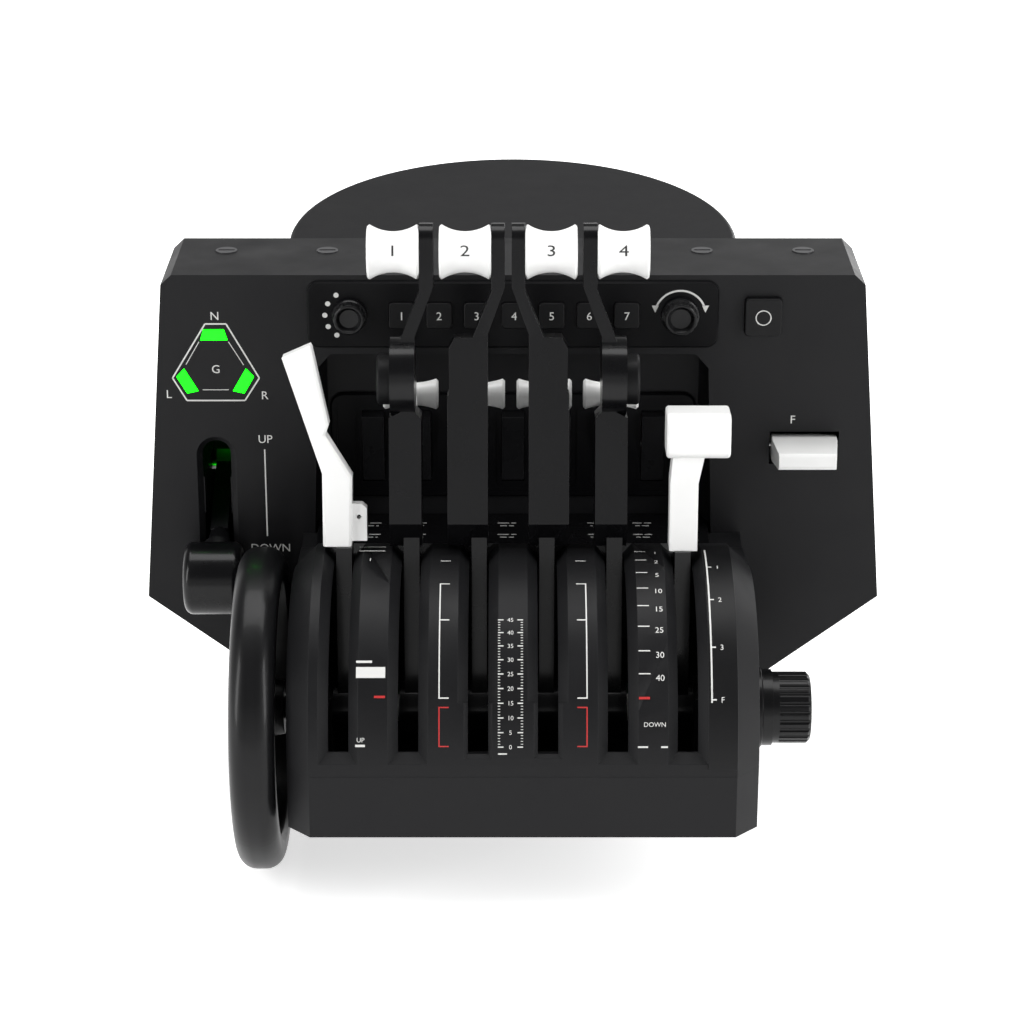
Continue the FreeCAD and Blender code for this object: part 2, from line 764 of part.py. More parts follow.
def cut_console_openings(body):
    front = -d.arch_radius
    gap = d.slide_gap
    gear = new_sketch(body, "front", front)
    stadium(gear, d.gear_across, d.gear_slot_half, d.gear_slot_low, d.gear_slot_high)
    pocket(body, gear, d.wall)
    panel_face = float(d.arch_radius)

    def slot_rim(edge):
        points = edge.discretize(5)
        reach = float(d.gear_slot_half) + 0.01
        return all(near(point.y, panel_face) and abs(point.x - float(d.gear_across)) < reach
                   for point in points)

    soften(body, "Chamfer", d.gear_bevel, slot_rim)
    lamps = new_sketch(body, "front", front)
    for turn in (0, 120, 240):
        outline(lamps, lamp_corners(turn))
    pocket(body, lamps, d.wall)
    windows = new_sketch(body, "front", front)
    margin = d.key_pitch / 2
    rectangle(windows, -d.strip_half + margin, d.strip_middle - d.strip_tall / 2 + 5,
              d.strip_half - margin, d.strip_middle + d.strip_tall / 2 - 5)
    rounded_rectangle(windows, d.master_middle - d.master_wide / 2 - gap,
                      d.master_height - d.master_tall / 2 - gap,
                      d.master_middle + d.master_wide / 2 + gap,
                      d.master_height + d.master_tall / 2 + gap, d.key_corner + gap)
    rectangle(windows, *paddle_window())
    pocket(body, windows, d.wall)
    rockers = new_sketch(body, "front", front - d.recess_depth)
    half = d.rocker_pitch * 3.5 + 2
    rectangle(rockers, -half, d.rocker_middle - d.rocker_tall / 2 - 2, half,
              d.rocker_middle + d.rocker_tall / 2 + 2)
    pocket(body, rockers, d.wall)
    inserts = new_sketch(body, "top", d.console_top)
    for across in INSERTS:
        circle(inserts, across, d.arch_radius + d.console_depth * 0.65, d.insert_radius)
    pocket(body, inserts, d.wall)


def paddle_window():
    """Left, low, right and high sides of the flap switch's opening."""
    return (d.paddle_across - 16, d.paddle_height - 7.6, d.paddle_across + 16, d.paddle_height + 8.4)


def add_gear_bracket(body):
    """Two cheeks behind the panel that carry the gear lever's pin."""
    inside = d.arch_radius + d.wall
    for side in (-1, 1):
        start = d.gear_across + (6 if side > 0 else -10)
        cheek = new_sketch(body, "side", start)
        pivot = d.arch_radius + d.gear_pivot_deep
        rectangle(cheek, inside - 0.5, d.gear_pivot_height - 9, pivot + 9, d.gear_pivot_height + 9)
        circle(cheek, pivot, d.gear_pivot_height, d.gear_pin)
        pad(body, cheek, 4)


def add_paddle_bracket(body):
    """Two cheeks behind the panel that carry the flap switch's pin."""
    inside = d.arch_radius + d.wall
    for start in (-18.4, 16.4):
        cheek = new_sketch(body, "side", d.paddle_across + start)
        rectangle(cheek, inside - 0.5, d.paddle_height - 9, inside + 10, d.paddle_height + 9)
        circle(cheek, d.arch_radius + d.paddle_behind, d.paddle_height, d.rod_radius)
        pad(body, cheek, 2)


INSERTS = (-133.2, -86.3, 87.9, 134.9)
CONSOLE_SCREWS = ((-80, 20), (80, 20), (-40, 12), (40, 12))
UNDERSIDE_SCREWS = ((-70, -30), (70, -30), (-70, 30), (70, 30))


def make_rear_cover():
    """The back of the console with its round housing for the electronics."""
    body = new_body("rear_cover")
    back = d.arch_radius + d.console_depth
    plate = new_sketch(body, "front", d.wall - back)
    console_outline(plate, d.wall)
    pad(body, plate, d.wall, backwards=True)
    dome = new_sketch(body, "top")
    centre = back + d.dome_shift
    rim = d.dome_radius
    outline(dome, [(-rim, back), (rim, back), (rim, centre), (0, centre + rim), (-rim, centre)],
            {2: rim, 3: rim})
    pad(body, dome, d.console_top + rim / 5)
    slope = sine(d.dome_slope) / cosine(d.dome_slope)
    reach = d.dome_radius * 1.2 + d.dome_shift
    top = new_sketch(body, "side")
    outline(top, [
        (back - 1, d.console_top), (back, d.console_top), (back + reach, d.console_top + reach * slope),
        (back + reach, d.console_top + reach), (back - 1, d.console_top + reach),
    ])
    pocket(body, top)
    roof = float(d.console_top) - 0.5
    behind = float(back) + 0.1

    def top_rim(edge):
        points = edge.discretize(5)
        return all(point.z > roof for point in points) and points[2].y > behind

    soften(body, "Fillet", d.dome_edge, top_rim)
    hollow = new_sketch(body, "top", d.wall)
    inner = rim - d.wall
    outline(hollow, [(-inner, back - d.wall * 2), (inner, back - d.wall * 2), (inner, centre),
                     (0, centre + inner), (-inner, centre)], {2: inner, 3: inner})
    pocket(body, hollow, d.console_top - d.wall * 2, backwards=True)
    socket = new_sketch(body, "front", -(centre + inner) + 2)
    rectangle(socket, *usb_sides(0))
    pocket(body, socket, d.wall + 4)
    return keep(body, "rear_cover")


def usb_sides(grow):
    """Left, low, right and high sides of the USB socket."""
    return (-6 - as_size(grow), 24 - as_size(grow), 6 + as_size(grow), 35 + as_size(grow))


# ---------------------------------------------------------------- strip, keys and rotary knobs

def key_middle(number):
    return d.key_first + d.key_pitch * number


def make_autopilot_strip():
    body = new_body("autopilot_strip")
    front = -d.arch_radius
    face = new_sketch(body, "front", front)
    half_tall = d.strip_tall / 2
    rounded_rectangle(face, -d.strip_half, d.strip_middle - half_tall,
                      d.strip_half, d.strip_middle + half_tall, d.strip_corner)
    pad(body, face, d.strip_thick)
    level = d.arch_radius - d.strip_thick

    def front_rim(edge):
        return all(near(point.y, level) for point in edge.discretize(5))

    soften(body, "Chamfer", 0.8, front_rim)
    holes = new_sketch(body, "front", front)
    gap = d.slide_gap
    for number in range(7):
        middle = key_middle(number)
        rounded_rectangle(holes, middle - d.key_wide / 2 - gap, d.strip_middle - d.key_tall / 2 - gap,
                          middle + d.key_wide / 2 + gap, d.strip_middle + d.key_tall / 2 + gap,
                          d.key_corner + gap)
    for across in (d.selector_across, d.encoder_across):
        circle(holes, across, d.strip_middle, d.knob_shaft + d.running_gap)
    pocket(body, holes)
    return keep(body, "autopilot_strip")


def make_key(label, across, height, wide, tall, corner, behind):
    """A push key: a rounded cap with a flange that keeps it behind its opening."""
    body = new_body(label, (across, behind, height))
    front = d.arch_radius - d.strip_thick - d.key_proud - behind
    cap = new_sketch(body, "front")
    rounded_rectangle(cap, -wide / 2, -tall / 2, wide / 2, tall / 2, corner)
    pad(body, cap, -front)

    def cap_rim(edge):
        return all(near(point.y, front) for point in edge.discretize(5))

    soften(body, "Fillet", 0.6, cap_rim)
    flange = new_sketch(body, "front")
    rounded_rectangle(flange, -wide / 2 - 1.4, -tall / 2 - 1.4, wide / 2 + 1.4, tall / 2 + 1.4, corner)
    pad(body, flange, 1.2, backwards=True)
    return keep(body, label)


def make_rotary_knob(label, across, radius, skirt, marker):
    """A knob that turns about Y: skirt, barrel, a dish in its end and a shaft into the strip."""
    level = d.arch_radius - d.strip_thick
    body = new_body(label, (across, level, d.strip_middle))
    gap = as_size(0.3)
    profile = new_sketch(body, "side")
    outline(profile, [
        (d.strip_thick + 4, 0), (d.strip_thick + 4, d.knob_shaft), (-gap, d.knob_shaft), (-gap, skirt),
        (-d.knob_skirt_tall, skirt - 0.3), (-d.knob_skirt_tall - 0.5, radius + 0.2),
        (-d.knob_proud + 0.6, radius), (-d.knob_proud, radius - 0.7),
        (-d.knob_proud, radius * 0.82), (-d.knob_proud + 0.5, radius * 0.76),
        (-d.knob_proud + d.knob_dish, radius * 0.6), (-d.knob_proud + d.knob_dish, 0),
    ])
    revolve(body, profile, "horizontal")
    flutes = new_sketch(body, "front", d.knob_skirt_tall + 0.6)
    for step in range(marker):
        turn = as_size(360.0 * (step + 0.5) / marker)
        circle(flutes, (radius + 0.5) * cosine(turn), (radius + 0.5) * sine(turn), 0.9)
    pocket(body, flutes, d.knob_proud, backwards=True)
    return keep(body, label)


# ---------------------------------------------------------------- switch plate and rockers

def rocker_across(number):
    return d.rocker_pitch * (number - 3)


def make_switch_plate():
    body = new_body("switch_plate")
    back = d.arch_radius + d.recess_depth
    face = new_sketch(body, "front", -back)
    rounded_rectangle(face, -d.plate_half, d.plate_low, d.plate_half, d.plate_high, d.plate_corner)
    pad(body, face, d.plate_thick)
    level = back - d.plate_thick

    def front_rim(edge):
        return all(near(point.y, level) for point in edge.discretize(5))

    soften(body, "Chamfer", 0.9, front_rim)
    frame = new_sketch(body, "front", d.plate_thick - back)
    rim = d.plate_corner / 2
    rounded_rectangle(frame, rim - d.plate_half, d.plate_low + rim, d.plate_half - rim, d.plate_high - rim, rim)
    pocket(body, frame, 0.5)
    bezels = new_sketch(body, "front", d.plate_thick - back)
    holes = new_sketch(body, "front", -back)
    for number in range(7):
        middle = rocker_across(number)
        half = d.bezel_wide / 2
        rounded_rectangle(bezels, middle - half, d.rocker_middle - d.bezel_tall / 2,
                          middle + half, d.rocker_middle + d.bezel_tall / 2, as_size(2))
        rectangle(holes, middle - d.rocker_wide / 2 - d.slide_gap, d.rocker_middle - d.rocker_tall / 2 - 1.3,
                  middle + d.rocker_wide / 2 + d.slide_gap, d.rocker_middle + d.rocker_tall / 2 + 1.3)
    pocket(body, bezels, d.bezel_sunk)
    pocket(body, holes)
    for number in range(8):
        cheek = new_sketch(body, "side", d.rocker_pitch * (number - 3.5) - 1.5)
        rectangle(cheek, back - 0.5, d.rocker_middle - 4, back + 4.5, d.rocker_middle + 4)
        circle(cheek, back + 2, d.rocker_middle, d.rod_radius)
        pad(body, cheek, 3)
    return keep(body, "switch_plate")


def make_rocker(number):
    """A rocker on the common rod, resting with its upper end out."""
    label = "rocker_%d" % (number + 1)
    back = d.arch_radius + d.recess_depth + 2
    body = new_body(label, (rocker_across(number), back, d.rocker_middle), ACROSS, d.rocker_tilt)
    side = new_sketch(body, "side", -d.rocker_wide / 2)
    sweep = d.rocker_tall / 2 + 1
    face = -d.rocker_thick
    high = d.rocker_tall / 2
    corner = Size(math.sqrt(sweep.number ** 2 - face.number ** 2),
                  "sqrt(%s^2 - %s^2)" % (sweep.text, face.text))
    foot = Size(math.sqrt(sweep.number ** 2 - 9), "sqrt(%s^2 - 9)" % sweep.text)
    outline(side, [
        (face + 0.9, 0), (face, -high * 0.75), (face, -corner), (3, -foot), (3, foot),
        (face, corner), (face, high * 0.75),
    ], {2: sweep, 4: sweep})
    pad(body, side, d.rocker_wide)
    bore = new_sketch(body, "side")
    circle(bore, 0, 0, d.rod_radius + d.running_gap)
    pocket(body, bore)
    return keep(body, label)


def make_pivot_pins():
    """The rockers' common rod and the pins of the gear lever and the flap switch."""
    half = d.rocker_pitch * 3.5 + 1.5
    pins = [
        rod("rocker_rod", d.rod_radius, -half, half, (d.arch_radius + d.recess_depth + 2, d.rocker_middle)),
        rod("gear_pivot", d.gear_pin, d.gear_across - 10, d.gear_across + 10,
            (d.arch_radius + d.gear_pivot_deep, d.gear_pivot_height)),
        rod("flap_switch_pivot", d.rod_radius, d.paddle_across - 18.4, d.paddle_across + 18.4,
            (d.arch_radius + d.paddle_behind, d.paddle_height)),
    ]
    return keep(join("pivot_pins", pins, "Part::Compound"), "pivot_pins")


# ---------------------------------------------------------------- gear lamps and gear lever

def make_gear_lamps():
    body = new_body("gear_lamp_lenses")
    plate = new_sketch(body, "front", -d.arch_radius - d.wall)
    reach = d.lamp_ring + 5
    circle(plate, d.lamp_middle, d.lamp_height, reach)
    pad(body, plate, 1.5, backwards=True)
    for turn in (0, 120, 240):
        lens = new_sketch(body, "front", -d.arch_radius - d.wall - 0.5)
        outline(lens, lamp_corners(turn, -0.05))
        pad(body, lens, d.wall + 0.9)
    return keep(body, "gear_lamp_lenses")


def make_gear_lever():
    """An arm on a pin behind the panel, with a flared collar in front of the knob."""
    pivot = (d.gear_across, d.arch_radius + d.gear_pivot_deep, d.gear_pivot_height)
    body = new_body("gear_lever", pivot, ACROSS, d.gear_swing)
    side = new_sketch(body, "side", -4)
    collar_start = -d.gear_reach + d.gear_knob_radius + 11
    outline(side, [(collar_start - 0.5, -4), (0, -4), (5, -7), (9, 0), (5, 7), (0, 4), (collar_start - 0.5, 4)])
    pad(body, side, 8)
    bore = new_sketch(body, "side")
    circle(bore, 0, 0, d.gear_pin + d.running_gap)
    pocket(body, bore)
    cone = new_sketch(body, "side")
    outline(cone, [
        (collar_start, 0), (collar_start, 4.4), (collar_start - 7, 5.4), (collar_start - 8, 6.9),
        (collar_start - 12, 6.9), (collar_start - 12, 0),
    ])
    revolve(body, cone, "horizontal")
    keep(body, "gear_lever")
    knob_at = (d.gear_across + d.gear_knob_shift,
               d.arch_radius + d.gear_pivot_deep - d.gear_reach * cosine(d.gear_swing),
               d.gear_pivot_height - d.gear_reach * sine(d.gear_swing))
    knob = new_body("gear_knob", knob_at, ACROSS, d.gear_swing)
    profile = new_sketch(knob, "front")
    half = d.gear_knob_half
    radius = d.gear_knob_radius
    outline(profile, [
        (-half, 0), (half, 0), (half, radius * 0.35), (half - 1.5, radius * 0.42), (half - 1.5, radius * 0.62),
        (half, radius * 0.7), (half, radius - 4), (half - 4, radius), (4 - half, radius),
        (-half, radius - 4), (-half, radius * 0.7), (1.5 - half, radius * 0.62),
        (1.5 - half, radius * 0.42), (-half, radius * 0.35),
    ], {6: as_size(4), 8: as_size(4)})
    revolve(knob, profile, "horizontal")
    socket = new_sketch(knob, "side")
    rectangle(socket, radius - 1, -8, radius + 2, 8)
    pocket(knob, socket)
    keep(knob, "gear_knob")


# ---------------------------------------------------------------- flap switch

def make_flap_switch():
    """A paddle that tips up and down about a pin behind the panel and springs back."""
    behind = d.paddle_behind
    body = new_body("flap_switch", (d.paddle_across, d.arch_radius + behind, d.paddle_height))
    plan = new_sketch(body, "side", -15)
    nose = -d.paddle_proud - behind
    outline(plan, [
        (0, -5.2), (4, -3), (4, 3), (0, 5.2), (-behind, 5.6), (nose, 4.4), (nose - 1, 2.5),
        (nose - 1, -1.8), (nose, -3.4), (-behind, -5.4),
    ])
    pad(body, plan, 30)
    taper = new_sketch(body, "top")
    for side in (-1, 1):
        corners = [(13 * side, nose - 3), (16 * side, nose - 3), (16 * side, -behind), (15.4 * side, -behind)]
        outline(taper, corners if side > 0 else corners[::-1])
    pocket(body, taper)
    bore = new_sketch(body, "side")
    circle(bore, 0, 0, d.rod_radius + d.running_gap)
    pocket(body, bore)
    return keep(body, "flap_switch")


# ---------------------------------------------------------------- levers

BACKWARDS = Vector(-1, 0, 0)
OUTER_BODY = ((38.3, 76), (52.5, 76), (52.5, 134.6), (47.6, 137), (47.6, 168), (38.9, 190),
              (38.9, 219.3), (32.8, 219.3), (32.8, 192), (41, 170), (41, 137), (38.3, 134))
INNER_BODY = ((9, 76), (26.8, 76), (26.8, 144), (26.1, 144.6), (26.1, 165), (23.6, 169.7), (15.6, 169.7),
              (7.4, 190), (7.4, 219.3), (1.5, 219.3), (1.5, 192), (9, 171))


def span(side, near_end, far_end):
    """Start and length along X of a piece on one side of the throttle group's middle."""
    start = d.group_middle + near_end if side > 0 else d.group_middle - far_end
    return start, as_size(far_end) - near_end


def add_stem(body, slot, top):
    """The part of a lever inside its slot: a flat stem, a hub and the axle's bore."""
    stem = new_sketch(body, "side", slot - d.stem_width / 2)
    half = d.stem_depth / 2
    rectangle(stem, -half, 0, half, top)
    pad(body, stem, d.stem_width)
    hub = new_sketch(body, "side", slot - d.hub_width / 2)
    circle(hub, 0, 0, d.hub_radius)
    pad(body, hub, d.hub_width)
    bore = new_sketch(body, "side")
    circle(bore, 0, 0, d.axle_radius + d.running_gap)
    pocket(body, bore)


def make_throttle_lever(number):
    label = "throttle_lever_%d" % (number + 1)
    side = -1 if number < 2 else 1
    outer = number in (0, 3)
    shape = OUTER_BODY if outer else INNER_BODY
    slot = slot_middle(number + 1)
    body = new_body(label, (0, 0, d.pivot_height), BACKWARDS, d.throttle_lean)
    widths = [across for across, _ in shape]
    start, length = span(side, min(widths), max(widths))
    profile = new_sketch(body, "side", start)
    half = d.arm_depth / 2
    top = d.lever_top - half
    low = d.block_low
    outline(profile, [
        (-5, low), (5, low), (13, low + 11.5), (12, low + 49), (half, low + 74), (half, top),
        (-half, top), (-half, low + 94), (-10, low + 54), (-13, low + 11.5),
    ], {5: "half"})
    pad(body, profile, length)
    around = new_sketch(body, "front")
    rectangle(around, d.group_middle + side * 30 - 60, d.block_low - 12, d.group_middle + side * 30 + 60,
              d.lever_top + 12)
    outline(around, [(d.group_middle + side * across, up) for across, up in shape])
    pocket(body, around)
    if outer:
        start, length = span(side, 41, 51.9)
        ear = new_sketch(body, "side", start)
        circle(ear, 0, d.ear_middle, d.ear_radius)
        pad(body, ear, length)
        start, length = span(side, 49.2, 54)
        seat = new_sketch(body, "side", start)
        circle(seat, 0, d.thumb_middle, d.thumb_radius + d.slide_gap)
        pocket(body, seat, length, backwards=True)
        start, length = span(side, 42.4, 54)
        bore = new_sketch(body, "side", start)
        circle(bore, 0, d.thumb_middle, d.thumb_stem + d.running_gap)
        pocket(body, bore, length, backwards=True)
    cleft = new_sketch(body, "side", slot - 1 - d.reverser_plate / 2 - 0.3)
    back = d.reverser_back
    up = d.reverser_up
    outline(cleft, [(back - 5.5, up - 5.5), (40, up - 5.5), (40, up + 60), (back + 8, up + 21.5),
                    (back - 5.5, up + 7)])
    pocket(body, cleft, d.reverser_plate + 0.6, backwards=True)
    pin_bore = new_sketch(body, "side")
    circle(pin_bore, back, up, d.pin_radius + d.running_gap)
    pocket(body, pin_bore)
    add_stem(body, slot, d.block_low + 8)
    return keep(body, label)


def spool(sketch, length, end, waist):
    """Half section of a spool: round rims and a hollow waist."""
    half = length / 2
    sag = end - waist
    chord = length - 2
    radius = (chord * chord / 4 + sag * sag) / (sag * 2)
    outline(sketch, [(-half, 0), (half, 0), (half, end - 1), (half - 1, end), (1 - half, end), (-half, end - 1)],
            {3: -radius})


def make_throttle_grip(number):
    label = "throttle_grip_%d" % (number + 1)
    side = -1 if number < 2 else 1
    middle = 50.3 if number in (0, 3) else 18.8
    body = new_body(label, (d.group_middle + side * middle, d.grip_middle * sine(d.throttle_lean),
                            d.pivot_height + d.grip_middle * cosine(d.throttle_lean)),
                    BACKWARDS, d.throttle_lean)
    section = new_sketch(body, "front")
    spool(section, d.grip_length, d.grip_end, d.grip_waist)
    revolve(body, section, "horizontal")
    return keep(body, label)


def make_reverser(number):
    """A reverse lever: a bar on a flat link whose trunnions turn in the throttle lever's block."""
    label = "reverser_%d" % (number + 1)
    side = -1 if number < 2 else 1
    outer = number in (0, 3)
    slot = slot_middle(number + 1)
    lean = d.throttle_lean
    back = d.reverser_back
    up = d.reverser_up
    body = new_body(label, (slot - 1, back * cosine(lean) + up * sine(lean),
                            d.pivot_height - back * sine(lean) + up * cosine(lean)), BACKWARDS, lean)
    link = new_sketch(body, "side", -d.reverser_plate / 2)
    reach = d.bar_back - back
    rise = d.bar_up - up
    outline(link, [(-2.6, -4.2), (2.6, -4.2), (reach + 3, rise - 3), (reach - 3, rise + 3), (-4.6, 2)])
    pad(body, link, d.reverser_plate)
    section = new_sketch(body, "front", -reach)
    tie(section, "AttachmentOffset.Base.y", rise)
    spool(section, d.bar_length, d.bar_end, d.bar_waist)
    revolve(body, section, "horizontal")
    start, length = span(side, 39.1, 51.7) if outer else span(side, 9.8, 26)
    pin = new_sketch(body, "side", start - slot + 1)
    circle(pin, 0, 0, d.pin_radius)
    pad(body, pin, length)
    return keep(body, label)


def make_thumb_button(number):
    label = "thumb_button_%d" % (number + 1)
    side = -1 if number == 0 else 1
    body = new_body(label, (0, 0, d.pivot_height), BACKWARDS, d.throttle_lean)
    start, length = span(side, 50.4, 57.9)
    cap = new_sketch(body, "side", start)
    circle(cap, 0, d.thumb_middle, d.thumb_radius)
    pad(body, cap, length)
    face = float(d.group_middle) + side * 57.9

    def cap_rim(edge):
        return all(near(point.x, face) for point in edge.discretize(5))

    soften(body, "Fillet", 1.5, cap_rim)
    start, length = span(side, 43.8, 51)
    stem = new_sketch(body, "side", start)
    circle(stem, 0, d.thumb_middle, d.thumb_stem)
    pad(body, stem, length)
    return keep(body, label)


def make_plain_lever(label, slot, lean):
    """A stem with a tenon for its handle."""
    body = new_body(label, (0, 0, d.pivot_height), BACKWARDS, lean)
    add_stem(body, slot, d.block_low)
    tenon = new_sketch(body, "side", slot - d.tenon_wide / 2)
    rectangle(tenon, -d.tenon_deep / 2, d.block_low - 1, d.tenon_deep / 2, d.block_low + d.tenon_tall)
    pad(body, tenon, d.tenon_wide)
    return keep(body, label)


def add_mortise(body, slot):
    mortise = new_sketch(body, "side", slot - d.tenon_wide / 2)
    rectangle(mortise, -d.tenon_deep / 2, d.block_low - 3, d.tenon_deep / 2, d.block_low + d.tenon_tall)
    pocket(body, mortise, d.tenon_wide, backwards=True)


def make_speed_brake_handle():
    body = new_body("speed_brake_handle", (0, 0, d.pivot_height), BACKWARDS, d.brake_lean)
    face = new_sketch(body, "front")
    outline(face, [(-84.4, 76), (-71.7, 76), (-71.1, 107.5), (-82.7, 126.5), (-81.1, 131), (-88.3, 165),
                   (-89.1, 166.4), (-101.4, 161), (-84.4, 109)])
    pad(body, face, d.handle_depth, both_ways=True)
    half = float(d.handle_depth) / 2

    def outer_rim(edge):
        points = edge.discretize(5)
        return all(near(abs(point.y), half) for point in points) and points[2].z > 80

    soften(body, "Chamfer", 1.2, outer_rim)
    tab = new_sketch(body, "front")
    outline(tab, [(-72.5, 78), (-64.8, 78), (-64.8, 93), (-67, 95), (-72.5, 95)])
    circle(tab, -68.4, 89, 1)
    pad(body, tab, 6, both_ways=True)
    add_mortise(body, slot_middle(0))
    return keep(body, "speed_brake_handle")


def make_flap_handle():
    body = new_body("flap_handle", (0, 0, d.pivot_height), BACKWARDS, d.flap_lean)
    stalk = new_sketch(body, "front")
    outline(stalk, [(69, 76), (81.5, 76), (81.5, 107.2), (84.4, 121), (70.2, 121), (69, 107.2)])
    pad(body, stalk, d.handle_depth, both_ways=True)
    head = new_sketch(body, "side", 67.1)
    rounded_rectangle(head, -10, 119.1, 10, 139.4, as_size(4))
    pad(body, head, 28.1)

    def end_rim(edge):
        return all(near(point.x, 67.1) or near(point.x, 95.2) for point in edge.discretize(5))

    soften(body, "Fillet", 1.5, end_rim)
    add_mortise(body, slot_middle(5))
    return keep(body, "flap_handle")


# ---------------------------------------------------------------- trim wheel, friction knob, axle

def make_trim_wheel():
    body = new_body("trim_wheel", (0, 0, d.pivot_height))
    section = new_sketch(body, "front")
    left = d.wheel_left
    right = d.wheel_left + d.wheel_width
    rim = d.wheel_radius - d.rim_thick
    edge = d.wheel_radius - d.rim_round
    outline(section, [
        (left, 0), (-d.bearing_split + 0.2, 0), (-d.bearing_split + 0.2, d.shaft_radius),
        (right, d.shaft_radius), (right, 12), (left + d.web_thick + 1, 15), (left + d.web_thick + 1, rim - 2),
        (right - 2, rim), (right, rim + 2), (right, edge), (right - d.rim_round, d.wheel_radius),
        (left + d.rim_round, d.wheel_radius), (left, edge), (left, rim), (left + 1.5, rim - 3),
        (left + 1.5, 16), (left, 14),
    ], {9: d.rim_round, 11: d.rim_round})
    revolve(body, section, "horizontal")
    return keep(body, "trim_wheel")


def make_friction_knob():
    body = new_body("friction_knob", (0, 0, d.pivot_height))
    section = new_sketch(body, "front")
    start = d.friction_start
    end = d.friction_end
    bore = d.axle_radius + d.running_gap
    outline(section, [
        (start, bore), (end - 4.6, bore), (end - 4.6, 0), (end, 0), (end, d.friction_radius - 1.5),
        (end - 1.5, d.friction_radius), (start + 9, d.friction_radius), (start + 9, d.friction_flange - 0.8),
        (start + 4.5, d.friction_flange - 0.8), (start + 4, d.friction_flange), (start, d.friction_flange),
    ])
    revolve(body, section, "horizontal")
    flutes = new_sketch(body, "side", start + 12)
    for step in range(24):
        turn = as_size(15.0 * step)
        circle(flutes, (d.friction_radius + 0.4) * cosine(turn), (d.friction_radius + 0.4) * sine(turn), 1.3)
    pocket(body, flutes, end - start, backwards=True)
    return keep(body, "friction_knob")


def make_lever_axle():
    axle = rod("lever_axle", d.axle_radius, -d.bearing_split + 1, d.friction_end - 5.6, (0, d.pivot_height))
    return keep(axle, "lever_axle")


def make_axle_spacers():
    sleeves = []
    for number in range(5):
        start = slot_middle(number) + d.hub_width / 2 + 0.1
        end = slot_middle(number + 1) - d.hub_width / 2 - 0.1
        outside = rod("sleeve", d.axle_radius + 2, start, end, (0, d.pivot_height))
        inside = rod("sleeve_bore", d.axle_radius, start - 1, end + 1, (0, d.pivot_height))
        sleeves.append(cut("sleeve_cut", outside, inside))
    return keep(join("axle_spacers", sleeves, "Part::Compound"), "axle_spacers")


def make_bearing_blocks():
    """Stands for the trim wheel's shaft and the axle's left end, and for its right end."""
    floor = d.wall * 2 - 1
    tall = d.pivot_height + 10 - floor
    left = d.wall - d.base_left
    inner = -slot_middle(5) - d.hub_width / 2 - 0.2
    left_block = box("left_block", (inner - left, 26, tall), (left, -13, floor))
    left_bores = join("left_bores", [
        rod("trim_bore", d.shaft_radius + d.running_gap, left - 1, -d.bearing_split + 0.5, (0, d.pivot_height)),
        rod("axle_seat", d.axle_radius, -d.bearing_split + 1, inner + 1, (0, d.pivot_height)),
    ])
    start = slot_middle(5) + d.hub_width / 2 + 0.3
    right_block = box("right_block", (6, 26, tall), (start, -13, floor))
    right_bore = rod("axle_hole", d.axle_radius, start - 1, start + 7, (0, d.pivot_height))
    blocks = [cut("left_bearing", left_block, left_bores), cut("right_bearing", right_block, right_bore)]
    return keep(join("bearing_blocks", blocks, "Part::Compound"), "bearing_blocks")


# ---------------------------------------------------------------- boards, socket, screws and pads

def make_sensor_board():
    floor = d.wall * 2 - 1
    pieces = [box("sensor_sheet", (140, 36, 1.6), (-70, 24, floor + 5))]
    for across in (-64, 64):
        for back in (29, 55):
            pieces.append(cylinder("sensor_stand", 3, 6, (across, back, floor)))
    for number in range(6):
        pieces.append(box("sensor_chip", (9, 7, 2), (slot_middle(number) * 0.7 - 4.5, 30, floor + 6.4)))
    pieces.append(box("sensor_plug", (24, 7, 6), (-12, 50, floor + 6.4)))
    return keep(join("sensor_board", pieces), "sensor_board")


def make_main_board():
    wall_back = d.arch_radius + d.recess_depth + d.wall
    pieces = [box("main_sheet", (176, 1.6, 70), (-88, wall_back + 8, 90))]
    for across in (-82, 82):
        for up in (96, 154):
            pieces.append(cylinder("main_stand", 3, 9, (across, wall_back + 9, up), ACROSS, 90))
    for across, up, wide, tall in ((-30, 118, 14, 14), (10, 100, 10, 16), (40, 130, 18, 8), (-66, 104, 12, 10)):
        pieces.append(box("main_chip", (wide, 3, tall), (across, wall_back + 9, up)))
    return keep(join("main_circuit_board", pieces), "main_circuit_board")


def make_usb_socket():
    left, low, right, high = usb_sides(0)
    outer = d.arch_radius + d.console_depth + d.dome_shift + d.dome_radius
    shell = box("socket_shell", (right - left, 15, high - low), (left, outer - 16, low))
    port = box("socket_port", (right - left - 3, 10, high - low - 3), (left + 1.5, outer - 10, low + 1.5))
    tongue = box("socket_tongue", (5.6, 9, 3.2), (-2.8, outer - 11, (low + high) / 2 - 1.6))
    sheet_piece = box("socket_sheet", (24, 34, 1.6), (-12, outer - 40, low - 1.6))
    stands = [cylinder("socket_stand", 2.5, low - 1 - d.wall, (across, outer - 35, d.wall)) for across in (-8, 8)]
    pieces = [cut("socket_cut", shell, port), tongue, sheet_piece] + stands
    return keep(join("usb_socket", pieces), "usb_socket")


def slotted_screw(name, radius, length, at, slot_long):
    """A flush screw head pointing up, with a slot in its top."""
    head = cylinder(name, radius, length, at)
    across, back, low = at
    slot = box(name + "_slot", (slot_long, radius * 0.3, 2),
               (across - slot_long / 2, back - radius * 0.15, low + length - 1.2))
    return cut(name + "_cut", head, slot)


def make_top_inserts():
    back = d.arch_radius + d.console_depth * 0.65
    screws = [slotted_screw("top_insert", d.insert_radius, d.insert_deep + 0.4,
                            (as_size(across), back, d.console_top - d.insert_deep), d.insert_radius * 1.5)
              for across in INSERTS]
    return keep(join("top_insert_screws", screws, "Part::Compound"), "top_insert_screws")


